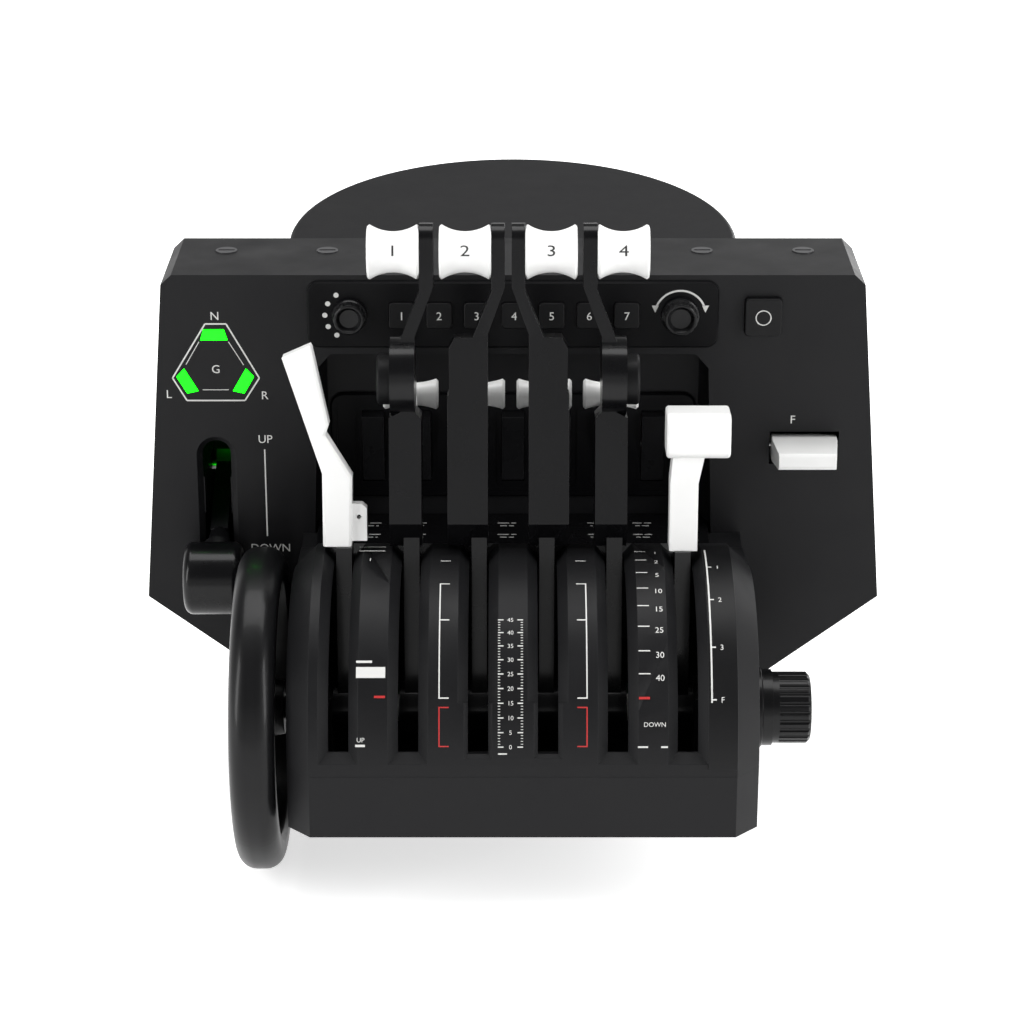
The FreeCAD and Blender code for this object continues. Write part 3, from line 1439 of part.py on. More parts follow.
def make_case_screws():
    """Screws up into the bottom plate, and screws from the tub into the console."""
    pieces = []
    for across, back in UNDERSIDE_SCREWS:
        head = cylinder("underside_screw", d.screw_radius, d.wall + 2, (across, back, d.wall - 1))
        slot = box("underside_slot", (4, 1, 2), (as_size(across) - 2, as_size(back) - 0.5, d.wall - 2))
        pieces.append(cut("underside_cut", head, slot))
    for across, up in CONSOLE_SCREWS:
        shank = cylinder("console_shank", d.rod_radius, d.wall * 3, (across, d.arch_radius + d.wall * 2, up), ACROSS, 90)
        head = cylinder("console_head", d.screw_radius, 2.4, (across, d.arch_radius - d.wall, up), ACROSS, 90)
        pieces.append(join("console_screw", [shank, head]))
    return keep(join("case_screws", pieces, "Part::Compound"), "case_screws")


def make_grip_pads():
    strips = [box("pad_strip", (170, 10, d.wall - 1), (-85, back, 0)) for back in (-62, -5, 52)]
    return keep(join("grip_pads", strips, "Part::Compound"), "grip_pads")


make_base_tub()
make_bottom_plate()
make_grip_pads()
make_arch_cover()
make_detent_plate()
make_annunciator_panel()
make_console_housing()
make_rear_cover()
make_autopilot_strip()
for key in range(7):
    make_key("strip_key_%d" % (key + 1), key_middle(key), d.strip_middle, d.key_wide, d.key_tall,
             d.key_corner, d.arch_radius + d.running_gap)
make_key("master_key", d.master_middle, d.master_height, d.master_wide, d.master_tall,
         d.key_corner, d.arch_radius + d.wall + d.running_gap)
make_rotary_knob("selector_knob", d.selector_across, d.selector_radius, d.selector_skirt, 12)
make_rotary_knob("encoder_knob", d.encoder_across, d.encoder_radius, d.encoder_skirt, 16)
make_switch_plate()
for switch in range(7):
    make_rocker(switch)
make_pivot_pins()
make_gear_lamps()
make_gear_lever()
make_flap_switch()
for lever in range(4):
    make_throttle_lever(lever)
    make_throttle_grip(lever)
    make_reverser(lever)
for button in range(2):
    make_thumb_button(button)
make_plain_lever("speed_brake_lever", slot_middle(0), d.brake_lean)
make_speed_brake_handle()
make_plain_lever("flap_lever", slot_middle(5), d.flap_lean)
make_flap_handle()
make_trim_wheel()
make_friction_knob()
make_lever_axle()
make_axle_spacers()
make_bearing_blocks()
make_sensor_board()
make_main_board()
make_usb_socket()
make_top_inserts()
make_case_screws()

document.recompute()
for thing in document.Objects:
    if "Invalid" in thing.State or "Error" in thing.State:
        raise RuntimeError("%s did not build: %s" % (thing.Name, thing.State))
for thing in sub_parts:
    if thing.Shape.isNull() or not thing.Shape.isValid():
        raise RuntimeError(thing.Label + " has no valid shape")
    thing.Shape.exportStep("parts/%s.step" % thing.Label)
    bounds = thing.Shape.BoundBox
    print(thing.Label, round(thing.Shape.Volume), len(thing.Shape.Solids), "X %.1f %.1f Y %.1f %.1f Z %.1f %.1f" % (
        bounds.XMin, bounds.XMax, bounds.YMin, bounds.YMax, bounds.ZMin, bounds.ZMax))
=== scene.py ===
import json
import math

import bmesh
import bpy
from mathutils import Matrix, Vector
from mathutils.bvhtree import BVHTree

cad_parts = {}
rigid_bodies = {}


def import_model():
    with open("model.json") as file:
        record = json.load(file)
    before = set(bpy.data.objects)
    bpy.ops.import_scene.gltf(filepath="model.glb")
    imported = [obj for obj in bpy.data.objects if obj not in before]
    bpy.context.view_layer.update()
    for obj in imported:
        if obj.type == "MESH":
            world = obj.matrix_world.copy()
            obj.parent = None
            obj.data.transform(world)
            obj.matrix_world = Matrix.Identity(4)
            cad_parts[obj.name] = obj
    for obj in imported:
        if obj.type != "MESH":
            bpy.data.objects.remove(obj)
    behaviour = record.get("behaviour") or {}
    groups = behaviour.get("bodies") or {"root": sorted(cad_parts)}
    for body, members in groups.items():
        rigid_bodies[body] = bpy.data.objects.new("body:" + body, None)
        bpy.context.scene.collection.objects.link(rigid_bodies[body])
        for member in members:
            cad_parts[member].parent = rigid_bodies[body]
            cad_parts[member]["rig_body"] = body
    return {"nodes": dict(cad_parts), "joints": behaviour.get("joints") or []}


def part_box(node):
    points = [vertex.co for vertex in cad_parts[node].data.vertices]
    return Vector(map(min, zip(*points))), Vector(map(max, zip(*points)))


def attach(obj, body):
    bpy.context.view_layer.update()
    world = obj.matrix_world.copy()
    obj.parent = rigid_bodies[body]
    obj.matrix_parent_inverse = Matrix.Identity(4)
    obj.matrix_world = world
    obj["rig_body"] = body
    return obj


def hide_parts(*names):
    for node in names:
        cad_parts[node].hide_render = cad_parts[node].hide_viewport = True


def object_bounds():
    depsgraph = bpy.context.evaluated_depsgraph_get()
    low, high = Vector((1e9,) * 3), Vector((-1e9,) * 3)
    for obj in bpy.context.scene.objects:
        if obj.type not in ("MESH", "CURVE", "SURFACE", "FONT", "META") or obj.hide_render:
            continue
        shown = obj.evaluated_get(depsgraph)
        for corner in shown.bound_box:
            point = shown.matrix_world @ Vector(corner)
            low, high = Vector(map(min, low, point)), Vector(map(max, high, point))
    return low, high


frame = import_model()
solid_low, solid_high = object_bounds()

# ---- Moulded case
# Tub, arch, console and rear cover are injection moulded in black ABS with a fine spark-eroded
# grain. Edges leave the tool with a small radius, which catches the light.

MM = 0.001
EDGE_RADIUS = {"console_housing": 0.7, "arch_cover": 0.7, "base_tub": 0.6, "rear_cover": 0.5,
               "bottom_plate": 0.2}
EDGE_ANGLE = math.radians(30)
FLAT_ANGLE = math.radians(0.4)
MERGE_DISTANCE = 0.002 * MM
nodes = frame["nodes"]


def grain_group():
    """Fine pitted grain: a height for the bump and a slow mottling of the sheen."""
    group = bpy.data.node_groups.new("moulded grain", "ShaderNodeTree")
    for socket in ("Grain Size", "Rough Low", "Rough High"):
        group.interface.new_socket(socket, in_out="INPUT", socket_type="NodeSocketFloat")
    for socket in ("Height", "Roughness", "Mottle"):
        group.interface.new_socket(socket, in_out="OUTPUT", socket_type="NodeSocketFloat")
    add = group.nodes.new
    link = group.links.new
    inputs = add("NodeGroupInput")
    outputs = add("NodeGroupOutput")
    place = add("ShaderNodeTexCoord")
    scale = add("ShaderNodeMath")
    scale.operation = "DIVIDE"
    scale.inputs[0].default_value = 1.0
    link(inputs.outputs["Grain Size"], scale.inputs[1])
    pits = add("ShaderNodeTexNoise")
    pits.inputs["Detail"].default_value = 3.0
    link(place.outputs["Object"], pits.inputs["Vector"])
    link(scale.outputs[0], pits.inputs["Scale"])
    clouds = add("ShaderNodeTexNoise")
    clouds.inputs["Scale"].default_value = 38.0
    clouds.inputs["Detail"].default_value = 5.0
    link(place.outputs["Object"], clouds.inputs["Vector"])
    spread = add("ShaderNodeMapRange")
    spread.inputs["From Min"].default_value = 0.3
    spread.inputs["From Max"].default_value = 0.7
    link(clouds.outputs["Fac"], spread.inputs["Value"])
    link(inputs.outputs["Rough Low"], spread.inputs["To Min"])
    link(inputs.outputs["Rough High"], spread.inputs["To Max"])
    link(pits.outputs["Fac"], outputs.inputs["Height"])
    link(spread.outputs["Result"], outputs.inputs["Roughness"])
    link(clouds.outputs["Fac"], outputs.inputs["Mottle"])
    return group


GRAIN = grain_group()


def plastic(name, dark, light, rough, grain_mm=0.35, bump=0.25, coat=0.0, shine=0.16):
    """A moulding: colour mottled between two tones, grained and a little uneven in sheen."""
    material = bpy.data.materials.new(name)
    material.use_nodes = True
    tree = material.node_tree
    shader = tree.nodes["Principled BSDF"]
    shader.inputs["Specular IOR Level"].default_value = shine
    shader.inputs["Coat Weight"].default_value = coat
    shader.inputs["Coat Roughness"].default_value = 0.12
    grain = tree.nodes.new("ShaderNodeGroup")
    grain.node_tree = GRAIN
    grain.inputs["Grain Size"].default_value = grain_mm * MM
    grain.inputs["Rough Low"].default_value = rough[0]
    grain.inputs["Rough High"].default_value = rough[1]
    tone = tree.nodes.new("ShaderNodeMix")
    tone.data_type = "RGBA"
    tone.inputs["A"].default_value = (*dark, 1)
    tone.inputs["B"].default_value = (*light, 1)
    relief = tree.nodes.new("ShaderNodeBump")
    relief.inputs["Strength"].default_value = bump
    relief.inputs["Distance"].default_value = 0.1 * MM
    link = tree.links.new
    link(grain.outputs["Mottle"], tone.inputs["Factor"])
    link(tone.outputs["Result"], shader.inputs["Base Color"])
    link(grain.outputs["Roughness"], shader.inputs["Roughness"])
    link(grain.outputs["Height"], relief.inputs["Height"])
    link(relief.outputs["Normal"], shader.inputs["Normal"])
    return material


def finish_piece(name, material, radius=0.3):
    """Shows a smooth copy of a solid, its sharp edges rounded, in the given material."""
    source = nodes[name]
    shape = bmesh.new()
    shape.from_mesh(source.data)
    bmesh.ops.remove_doubles(shape, verts=shape.verts, dist=MERGE_DISTANCE)
    bmesh.ops.dissolve_limit(shape, angle_limit=FLAT_ANGLE, verts=shape.verts, edges=shape.edges)
    mesh = bpy.data.meshes.new(name + " moulding")
    shape.to_mesh(mesh)
    shape.free()
    mesh.polygons.foreach_set("use_smooth", [True] * len(mesh.polygons))
    mesh.set_sharp_from_angle(angle=EDGE_ANGLE)
    piece = bpy.data.objects.new(name + "_finished", mesh)
    bpy.context.scene.collection.objects.link(piece)
    bevel = piece.modifiers.new("rounded edges", "BEVEL")
    bevel.width = radius * MM
    bevel.segments = 2
    bevel.limit_method = "ANGLE"
    bevel.angle_limit = EDGE_ANGLE
    bevel.miter_outer = "MITER_ARC"
    flats = piece.modifiers.new("true flats", "WEIGHTED_NORMAL")
    flats.weight = 90
    evaluated = piece.evaluated_get(bpy.context.evaluated_depsgraph_get())
    rounded = bpy.data.meshes.new_from_object(evaluated)
    piece.modifiers.clear()
    piece.data = rounded
    rounded.materials.clear()
    rounded.materials.append(material)
    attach(piece, source["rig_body"])
    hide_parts(name)
    return piece


case_plastic = plastic("black grained case", (0.005, 0.005, 0.0055), (0.009, 0.009, 0.01), (0.4, 0.54))
for moulding, edge in EDGE_RADIUS.items():
    finish_piece(moulding, case_plastic, edge)
finish_piece("bearing_blocks", case_plastic)

# ---- Rubber strips
# Three extruded strips of soft black rubber keep the unit in place. They are glued under the
# bottom plate and hold it clear of the desk.

strip_rubber = plastic("strip rubber", (0.014, 0.014, 0.014), (0.024, 0.023, 0.022), (0.75, 0.9), 0.8, 0.5)
finish_piece("grip_pads", strip_rubber, 0.5)

# ---- Marks on the arch
# Scales beside each lever, in white and red ink on the ribs between the slots. They are pad
# printed after moulding, so the ink follows the curve and stands a hair above it.

INK_THICKNESS = 0.04 * MM
CUT_SPACING = 1.5
joint_of = {joint["name"]: joint for joint in frame["joints"]}
PIVOT_HEIGHT = joint_of["trim_wheel_turn"]["pos_m"][2]
ARCH_RADIUS = -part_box("base_tub")[0].y


def ink(name, colour, rough=0.45):
    """Screen ink: flat colour, slightly uneven where it is thin."""
    material = bpy.data.materials.new(name)
    material.use_nodes = True
    tree = material.node_tree
    shader = tree.nodes["Principled BSDF"]
    grain = tree.nodes.new("ShaderNodeGroup")
    grain.node_tree = GRAIN
    grain.inputs["Grain Size"].default_value = 0.15 * MM
    grain.inputs["Rough Low"].default_value = rough
    grain.inputs["Rough High"].default_value = rough + 0.15
    thin = tree.nodes.new("ShaderNodeMix")
    thin.data_type = "RGBA"
    thin.inputs["A"].default_value = (*[part * 0.82 for part in colour], 1)
    thin.inputs["B"].default_value = (*colour, 1)
    tree.links.new(grain.outputs["Height"], thin.inputs["Factor"])
    tree.links.new(thin.outputs["Result"], shader.inputs["Base Color"])
    tree.links.new(grain.outputs["Roughness"], shader.inputs["Roughness"])
    return material


white_ink = ink("white ink", (0.72, 0.72, 0.7))
red_ink = ink("red ink", (0.5, 0.02, 0.02))


def curved_face(lift):
    """Places marks on the arch, or on what lies on it; along is the arc up from the axle's height."""
    def place(across, along):
        turn = along * MM / ARCH_RADIUS
        radius = ARCH_RADIUS + lift + INK_THICKNESS
        return Vector((across * MM, -radius * math.cos(turn), PIVOT_HEIGHT + radius * math.sin(turn)))

    return place


def arc_length(degrees):
    """The arc, in millimetres, up from the axle's height to a lever angle."""
    return math.radians(degrees) * ARCH_RADIUS / MM


def bar(left, low, right, high):
    """An upright rectangle."""
    return [[(left, low), (right, low), (right, high), (left, high)]]


def line(start, end, width):
    """A straight stroke between two points."""
    start, end = Vector(start), Vector(end)
    run = end - start
    side = Vector((-run.y, run.x)).normalized() * (width / 2)
    return [[tuple(start - side), tuple(end - side), tuple(end + side), tuple(start + side)]]


CAPITAL_SHARE = 0.7


def letters(text, middle, low, height):
    """Outlines of a printed mark, standing on low and centred on middle."""
    curve = bpy.data.curves.new("mark", "FONT")
    curve.body = text
    curve.align_x = "CENTER"
    curve.size = height / CAPITAL_SHARE
    curve.resolution_u = 3
    holder = bpy.data.objects.new("mark", curve)
    bpy.context.scene.collection.objects.link(holder)
    mesh = bpy.data.meshes.new_from_object(holder.evaluated_get(bpy.context.evaluated_depsgraph_get()))
    outlines = [[(mesh.vertices[i].co.x + middle, mesh.vertices[i].co.y + low) for i in face.vertices]
                for face in mesh.polygons]
    bpy.data.objects.remove(holder)
    bpy.data.curves.remove(curve)
    bpy.data.meshes.remove(mesh)
    return outlines


def print_on(name, body, outlines, surface, material):
    """Lays outlines on a surface as one thin piece of ink that moves with a body."""
    shape = bmesh.new()
    for outline in outlines:
        shape.faces.new([shape.verts.new((*point, 0)) for point in outline])
    heights = [vertex.co.y for vertex in shape.verts]
    cuts = math.ceil((max(heights) - min(heights)) / CUT_SPACING)
    for cut in range(1, cuts):
        level = min(heights) + cut * CUT_SPACING
        everything = shape.verts[:] + shape.edges[:] + shape.faces[:]
        bmesh.ops.bisect_plane(shape, geom=everything, plane_co=(0, level, 0), plane_no=(0, 1, 0))
    for vertex in shape.verts:
        vertex.co = surface(vertex.co.x, vertex.co.y)
    mesh = bpy.data.meshes.new(name)
    shape.to_mesh(mesh)
    shape.free()
    mesh.materials.append(material)
    piece = bpy.data.objects.new(name, mesh)
    bpy.context.scene.collection.objects.link(piece)
    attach(piece, body)
    return piece


def scale_tick_tree():
    """A column of printed ticks, with a long thick one at every so many places."""
    tree = bpy.data.node_groups.new("scale ticks", "GeometryNodeTree")
    for socket, kind in (("Count", "Int"), ("Every", "Int"), ("Gap", "Float"), ("Reach", "Float"),
                         ("Side", "Float"), ("Long", "Float"), ("Short", "Float"), ("Thick", "Float"),
                         ("Thin", "Float"), ("Ink", "Material")):
        tree.interface.new_socket(socket, in_out="INPUT", socket_type="NodeSocket" + kind)
    tree.interface.new_socket("Geometry", in_out="OUTPUT", socket_type="NodeSocketGeometry")
    add = tree.nodes.new
    link = tree.links.new
    inputs = add("NodeGroupInput")
    outputs = add("NodeGroupOutput")

    def reckon(operation, first, second):
        node = add("ShaderNodeMath")
        node.operation = operation
        link(first, node.inputs[0])
        if isinstance(second, float):
            node.inputs[1].default_value = second
        else:
            link(second, node.inputs[1])
        return node.outputs[0]

    def long_or_short(short_place, at_long, at_short):
        node = add("ShaderNodeMix")
        link(short_place, node.inputs["Factor"])
        link(inputs.outputs[at_long], node.inputs["A"])
        link(inputs.outputs[at_short], node.inputs["B"])
        return node.outputs["Result"]

    place = add("GeometryNodeInputIndex")
    left_over = reckon("MODULO", place.outputs["Index"], inputs.outputs["Every"])
    short_place = reckon("GREATER_THAN", left_over, 0.5)
    length = long_or_short(short_place, "Long", "Short")
    thickness = long_or_short(short_place, "Thick", "Thin")
    climb = add("ShaderNodeCombineXYZ")
    link(inputs.outputs["Gap"], climb.inputs["Y"])
    column = add("GeometryNodeMeshLine")
    link(inputs.outputs["Count"], column.inputs["Count"])
    link(climb.outputs["Vector"], column.inputs["Offset"])
    inset = reckon("SUBTRACT", inputs.outputs["Reach"], reckon("MULTIPLY", length, 0.5))
    shift = add("ShaderNodeCombineXYZ")
    link(reckon("MULTIPLY", inset, inputs.outputs["Side"]), shift.inputs["X"])
    lined_up = add("GeometryNodeSetPosition")
    link(column.outputs["Mesh"], lined_up.inputs["Geometry"])
    link(shift.outputs["Vector"], lined_up.inputs["Offset"])
    tick = add("GeometryNodeMeshGrid")
    tick.inputs["Vertices X"].default_value = 2
    tick.inputs["Vertices Y"].default_value = 2
    size = add("ShaderNodeCombineXYZ")
    size.inputs["Z"].default_value = 1.0
    link(length, size.inputs["X"])
    link(thickness, size.inputs["Y"])
    ticks = add("GeometryNodeInstanceOnPoints")
    link(lined_up.outputs["Geometry"], ticks.inputs["Points"])
    link(tick.outputs["Mesh"], ticks.inputs["Instance"])
    link(size.outputs["Vector"], ticks.inputs["Scale"])
    whole = add("GeometryNodeRealizeInstances")
    link(ticks.outputs["Instances"], whole.inputs["Geometry"])
    inked = add("GeometryNodeSetMaterial")
    link(whole.outputs["Geometry"], inked.inputs["Geometry"])
    link(inputs.outputs["Ink"], inked.inputs["Material"])
    link(inked.outputs["Geometry"], outputs.inputs["Geometry"])
    return tree


def scale_ticks(tree, middle, low, sizes):
    """Outlines of one column of ticks, moved to its middle line and its lowest tick."""
    holder = bpy.data.objects.new("ticks", bpy.data.meshes.new("ticks"))
    bpy.context.scene.collection.objects.link(holder)
    column = holder.modifiers.new("ticks", "NODES")
    column.node_group = tree
    for socket in tree.interface.items_tree:
        if socket.in_out == "INPUT":
            column[socket.identifier] = sizes[socket.name]
    mesh = bpy.data.meshes.new_from_object(holder.evaluated_get(bpy.context.evaluated_depsgraph_get()))
    holder.modifiers.clear()
    outlines = [[(mesh.vertices[i].co.x + middle, mesh.vertices[i].co.y + low) for i in face.vertices]
                for face in mesh.polygons]
    bpy.data.objects.remove(holder)
    bpy.data.meshes.remove(mesh)
    return outlines


white_marks = []
red_marks = []

# Speed brake: two lines and a number at the top, the flight stop, the red limit and the foot.
for degrees in (99.8, 94.5):
    white_marks += bar(-68.5, arc_length(degrees) - 0.5, -56.8, arc_length(degrees) + 0.4)
white_marks += letters("1", -63.0, arc_length(85.5), 2.6)
white_marks += bar(-67.2, arc_length(34.8), -54.7, arc_length(38.5))
red_marks += bar(-59.4, arc_length(28.1), -54.7, arc_length(28.9))
white_marks += bar(-67.5, arc_length(11.8), -63.3, arc_length(12.6))
white_marks += letters("UP", -65.2, arc_length(13.4), 2.0)
white_marks += bar(-67.2, arc_length(39.9), -60.4, arc_length(40.7))

# Throttles: a white bracket over the power range and a red one over the reverse gate.
THROTTLE_RIBS = ((1, -30.0), (-1, 30.0))
SPINE_WIDTH = 0.55
SPINE_OFFSET = 1.9
BRACKET_REACH = 4.4
WHITE_RANGE = (28.1, 71.5)
WHITE_STEPS = (71.5, 55.6, 28.1, 85.4)
RED_RANGE = (12.0, 25.0)
HALF_STROKE = 0.28
for side, rib in THROTTLE_RIBS:
    spine = rib - SPINE_OFFSET * side
    spine_left, spine_right = sorted((spine, spine + SPINE_WIDTH * side))
    reach_left, reach_right = sorted((spine, spine + BRACKET_REACH * side))
    for marks, ends, steps in ((white_marks, WHITE_RANGE, WHITE_STEPS), (red_marks, RED_RANGE, RED_RANGE)):
        marks += bar(spine_left, arc_length(ends[0]), spine_right, arc_length(ends[1]))
        for degrees in steps:
            along = arc_length(degrees)
            marks += bar(reach_left, along - HALF_STROKE, reach_right, along + HALF_STROKE)

# Trim: a scale up both sides of the middle rib, numbered in fives at its long ticks.
SCALE_MIDDLE = -1.1
SCALE_LOW = arc_length(11.8)
SCALE_HIGH = arc_length(55.6)
SCALE_NUMBERS = 10
TICKS_A_NUMBER = 5
number_gap = (SCALE_HIGH - SCALE_LOW) / (SCALE_NUMBERS - 1)
tick_tree = scale_tick_tree()
tick_sizes = {"Count": (SCALE_NUMBERS - 1) * TICKS_A_NUMBER + 1, "Every": TICKS_A_NUMBER,
              "Gap": number_gap / TICKS_A_NUMBER, "Reach": 5.4, "Long": 2.4, "Short": 1.0, "Thick": 0.5,
              "Thin": 0.3, "Ink": white_ink}
for side in (-1.0, 1.0):
    white_marks += scale_ticks(tick_tree, SCALE_MIDDLE, SCALE_LOW, {**tick_sizes, "Side": side})
for number in range(SCALE_NUMBERS):
    white_marks += letters(str(number * 5), SCALE_MIDDLE, SCALE_LOW + number * number_gap - 0.95, 1.9)
white_marks += bar(-6.4, arc_length(9.2), -2.6, arc_length(9.7))

# Flaps: numbered stops beside the slot, the red limit and the foot.
FLAP_STOPS = [(92.3, "1"), (84.7, "2"), (76.3, "5"), (68.0, "10"), (60.0, "15"), (51.7, "25"), (42.7, "30"),
              (34.8, "40")]
for degrees, number in FLAP_STOPS:
    white_marks += letters(number, 63.0, arc_length(degrees) - 1.3, 2.7)
    white_marks += bar(53.8, arc_length(degrees) + 1.6, 58.8, arc_length(degrees) + 2.1)
red_marks += bar(53.8, arc_length(27.7), 58.5, arc_length(28.5))
white_marks += bar(53.4, arc_length(11.5), 57.7, arc_length(12.1))
white_marks += bar(63.3, arc_length(11.5), 66.2, arc_length(12.1))
white_marks += letters("DOWN", 60.6, arc_length(18.6), 2.0)

on_arch = curved_face(0.0)
print_on("arch_white_marks", "base", white_marks, on_arch, white_ink)
print_on("arch_red_marks", "base", red_marks, on_arch, red_ink)

# ---- Plate beside the flap slot
# A thin matt sheet glued to the arch beside the flap slot. It is printed with the flap positions
# along one white line.

sheet_black = plastic("matt sheet", (0.004, 0.004, 0.0045), (0.007, 0.007, 0.0075), (0.34, 0.46), 0.2, 0.12)
finish_piece("detent_plate", sheet_black, 0.25)
plate_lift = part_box("detent_plate")[1].z - PIVOT_HEIGHT - ARCH_RADIUS
plate_marks = bar(84.6, arc_length(26.5), 85.3, arc_length(93))
for degrees, mark in ((79.9, "1"), (63.4, "2"), (45.1, "3"), (27.5, "F")):
    plate_marks += letters(mark, 89.6, arc_length(degrees) - 1.2, 2.4)
    plate_marks += bar(84.6, arc_length(degrees) - 0.3, 87.0, arc_length(degrees) + 0.3)
print_on("flap_plate_marks", "base", plate_marks, curved_face(plate_lift), white_ink)

# ---- Annunciator deck
# A smoked gloss plate over two rows of legends, laid on the ledge between arch and console.
# Unlit, the legends show as dim bars behind it.

DECK_THICKNESS = 2.0 * MM
LEGEND_COLUMNS = 8
FIRST_LEGEND = -66.1
LEGEND_PITCH = 21.1
LEGEND_ROWS = (67.4, 78.2)
LINE_PITCH = 2.6
smoked = plastic("smoked legend plate", (0.003, 0.003, 0.0035), (0.005, 0.005, 0.0055), (0.2, 0.3),
                 grain_mm=0.5, bump=0.03, coat=0.15)
finish_piece("annunciator_panel", smoked)
deck_low, deck_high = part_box("annunciator_panel")
dim_ink = ink("dim legend ink", (0.42, 0.42, 0.41), 0.3)
deck_rise = (deck_high.z - deck_low.z - DECK_THICKNESS) / (deck_high.y - deck_low.y)


def on_deck(across, back):
    """A place on the sloping deck, back being measured from the axle."""
    height = deck_high.z - (deck_high.y - back * MM) * deck_rise + INK_THICKNESS
    return Vector((across * MM, back * MM, height))


legends = []
for column in range(LEGEND_COLUMNS):
    middle = FIRST_LEGEND + LEGEND_PITCH * column
    for back in LEGEND_ROWS:
        for row in range(2):
            low = back + 1.2 - row * LINE_PITCH
            reach = 4.4 - row * 1.2
            space = middle + (column * 5 + row * 3) % 4 - 1.5
            legends += bar(middle - reach, low - 0.4, space - 0.5, low + 0.4)
            legends += bar(space + 0.5, low - 0.4, middle + reach, low + 0.4)
print_on("deck_legends", "base", legends, on_deck, dim_ink)

# ---- Console front
# White pad printing on the flat front of the console: the frame and letters round the gear lamps,
# the gear lever's line with UP and DOWN at its ends, and a letter over the flap switch.

def front_face(depth):
    """Places marks on a flat upright face that stands at this depth."""
    def place(across, up):
        return Vector((across * MM, depth - INK_THICKNESS, up * MM))

    return place


def stroke_loop(points, width):
    """Strokes round a closed outline."""
    return [outline for a, b in zip(points, points[1:] + points[:1]) for outline in line(a, b, width)]


PANEL_LETTER = 3.9
LAMP_FRAME = [(-140.4, 185.1), (-130.8, 185.1), (-116.4, 159.1), (-123.3, 148.2), (-150.0, 148.2),
              (-156.2, 159.1)]
INNER_STROKES = [((-143.4, 176.6), (-149.8, 165.6)), ((-130.0, 176.6), (-123.4, 165.4)),
                 ((-142.6, 153.4), (-130.6, 153.4))]
PANEL_WORDS = [("UP", -114.6, 127.4), ("DOWN", -113.6, 73.2), ("N", -135.9, 187.0), ("G", -136.2, 161.5),
               ("L", -158.2, 149.4), ("R", -114.2, 148.8), ("F", 129.0, 137.0)]
panel_marks = stroke_loop(LAMP_FRAME, 0.7)
for start, end in INNER_STROKES:
    panel_marks += line(start, end, 0.35)
for word, middle, low in PANEL_WORDS:
    panel_marks += letters(word, middle, low, PANEL_LETTER)
panel_marks += bar(-115.3, 81.0, -114.7, 124.2)
on_panel = front_face(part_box("console_housing")[0].y)
print_on("panel_marks", "base", panel_marks, on_panel, white_ink)

# ---- Autopilot strip, its keys and rotary knobs
# The strip is a separate satin moulding clipped over a window in the console. Seven soft-touch keys
# and a master key push through it; the two rotary knobs are turned with a dished end and flutes.

strip_plastic = plastic("satin strip", (0.002, 0.002, 0.0025), (0.004, 0.004, 0.0045), (0.3, 0.42),
                        grain_mm=0.25, bump=0.12, shine=0.08)
key_plastic = plastic("soft key", (0.003, 0.003, 0.0035), (0.006, 0.006, 0.0065), (0.4, 0.52), 0.2, 0.15)
knob_plastic = plastic("turned knob", (0.003, 0.003, 0.0035), (0.006, 0.006, 0.0065), (0.26, 0.36),
                       grain_mm=0.25, bump=0.15, coat=0.1)
finish_piece("autopilot_strip", strip_plastic, 0.2)
finish_piece("master_key", key_plastic, 0.25)
for knob in ("selector_knob", "encoder_knob"):
    finish_piece(knob, knob_plastic, 0.2)
strip_low, strip_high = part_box("autopilot_strip")
strip_middle = (strip_low.z + strip_high.z) / 2 / MM
DOT_SIDES = 18


def dot(across, up, radius):
    """A round printed dot."""
    turns = [2 * math.pi * step / DOT_SIDES for step in range(DOT_SIDES)]
    return [[(across + radius * math.cos(turn), up + radius * math.sin(turn)) for turn in turns]]


def arc_stroke(across, up, radius, start, end, width, pieces=20):
    """A printed arc between two bearings in degrees."""
    turns = [math.radians(start + (end - start) * step / pieces) for step in range(pieces + 1)]
    inner, outer = radius - width / 2, radius + width / 2
    ways = [Vector((math.cos(turn), math.sin(turn))) for turn in turns]
    centre = Vector((across, up))
    return [[tuple(centre + a * inner), tuple(centre + a * outer), tuple(centre + b * outer),
             tuple(centre + b * inner)] for a, b in zip(ways, ways[1:])]


SELECTOR_STOPS = 5
STOP_BEARING = 29
DOT_REACH = 11.2
ARROW_TIP = ((-1.6, 2.0), (0, -1.4), (1.6, 2.0))
selector_at = joint_of["selector_turn"]["pos_m"][0] / MM
encoder_at = joint_of["encoder_turn"]["pos_m"][0] / MM
strip_marks = []
for stop in range(SELECTOR_STOPS):
    bearing = math.radians(180 + (stop - 2) * STOP_BEARING)
    across = selector_at + DOT_REACH * math.cos(bearing)
    strip_marks += dot(across, strip_middle + DOT_REACH * math.sin(bearing), 1.2)
strip_marks += arc_stroke(encoder_at, strip_middle, 11.6, 158, 22, 0.9)
for side in (-1, 1):
    tip = Vector((encoder_at + side * 11.4, strip_middle + 2.6))
    strip_marks.append([tuple(tip + Vector(corner)) for corner in ARROW_TIP])
print_on("strip_marks", "base", strip_marks, front_face(strip_low.y), white_ink)

KEY_COUNT = 7
KEY_NUMBER_HEIGHT = 3.8
for number in range(1, KEY_COUNT + 1):
    key = "strip_key_%d" % number
    finish_piece(key, key_plastic, 0.15)
    key_low, key_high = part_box(key)
    key_middle = (key_low.x + key_high.x) / 2 / MM
    key_marks = letters(str(number), key_middle, strip_middle - KEY_NUMBER_HEIGHT / 2, KEY_NUMBER_HEIGHT)
    print_on(key + "_mark", nodes[key]["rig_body"], key_marks, front_face(key_low.y), white_ink)

master_low, master_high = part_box("master_key")
master_middle = (master_low + master_high) / 2 / MM
master_ring = arc_stroke(master_middle.x, master_middle.z, 3.4, 0, 360, 0.5, 32)
print_on("master_mark", "master_button", master_ring, front_face(master_low.y), white_ink)

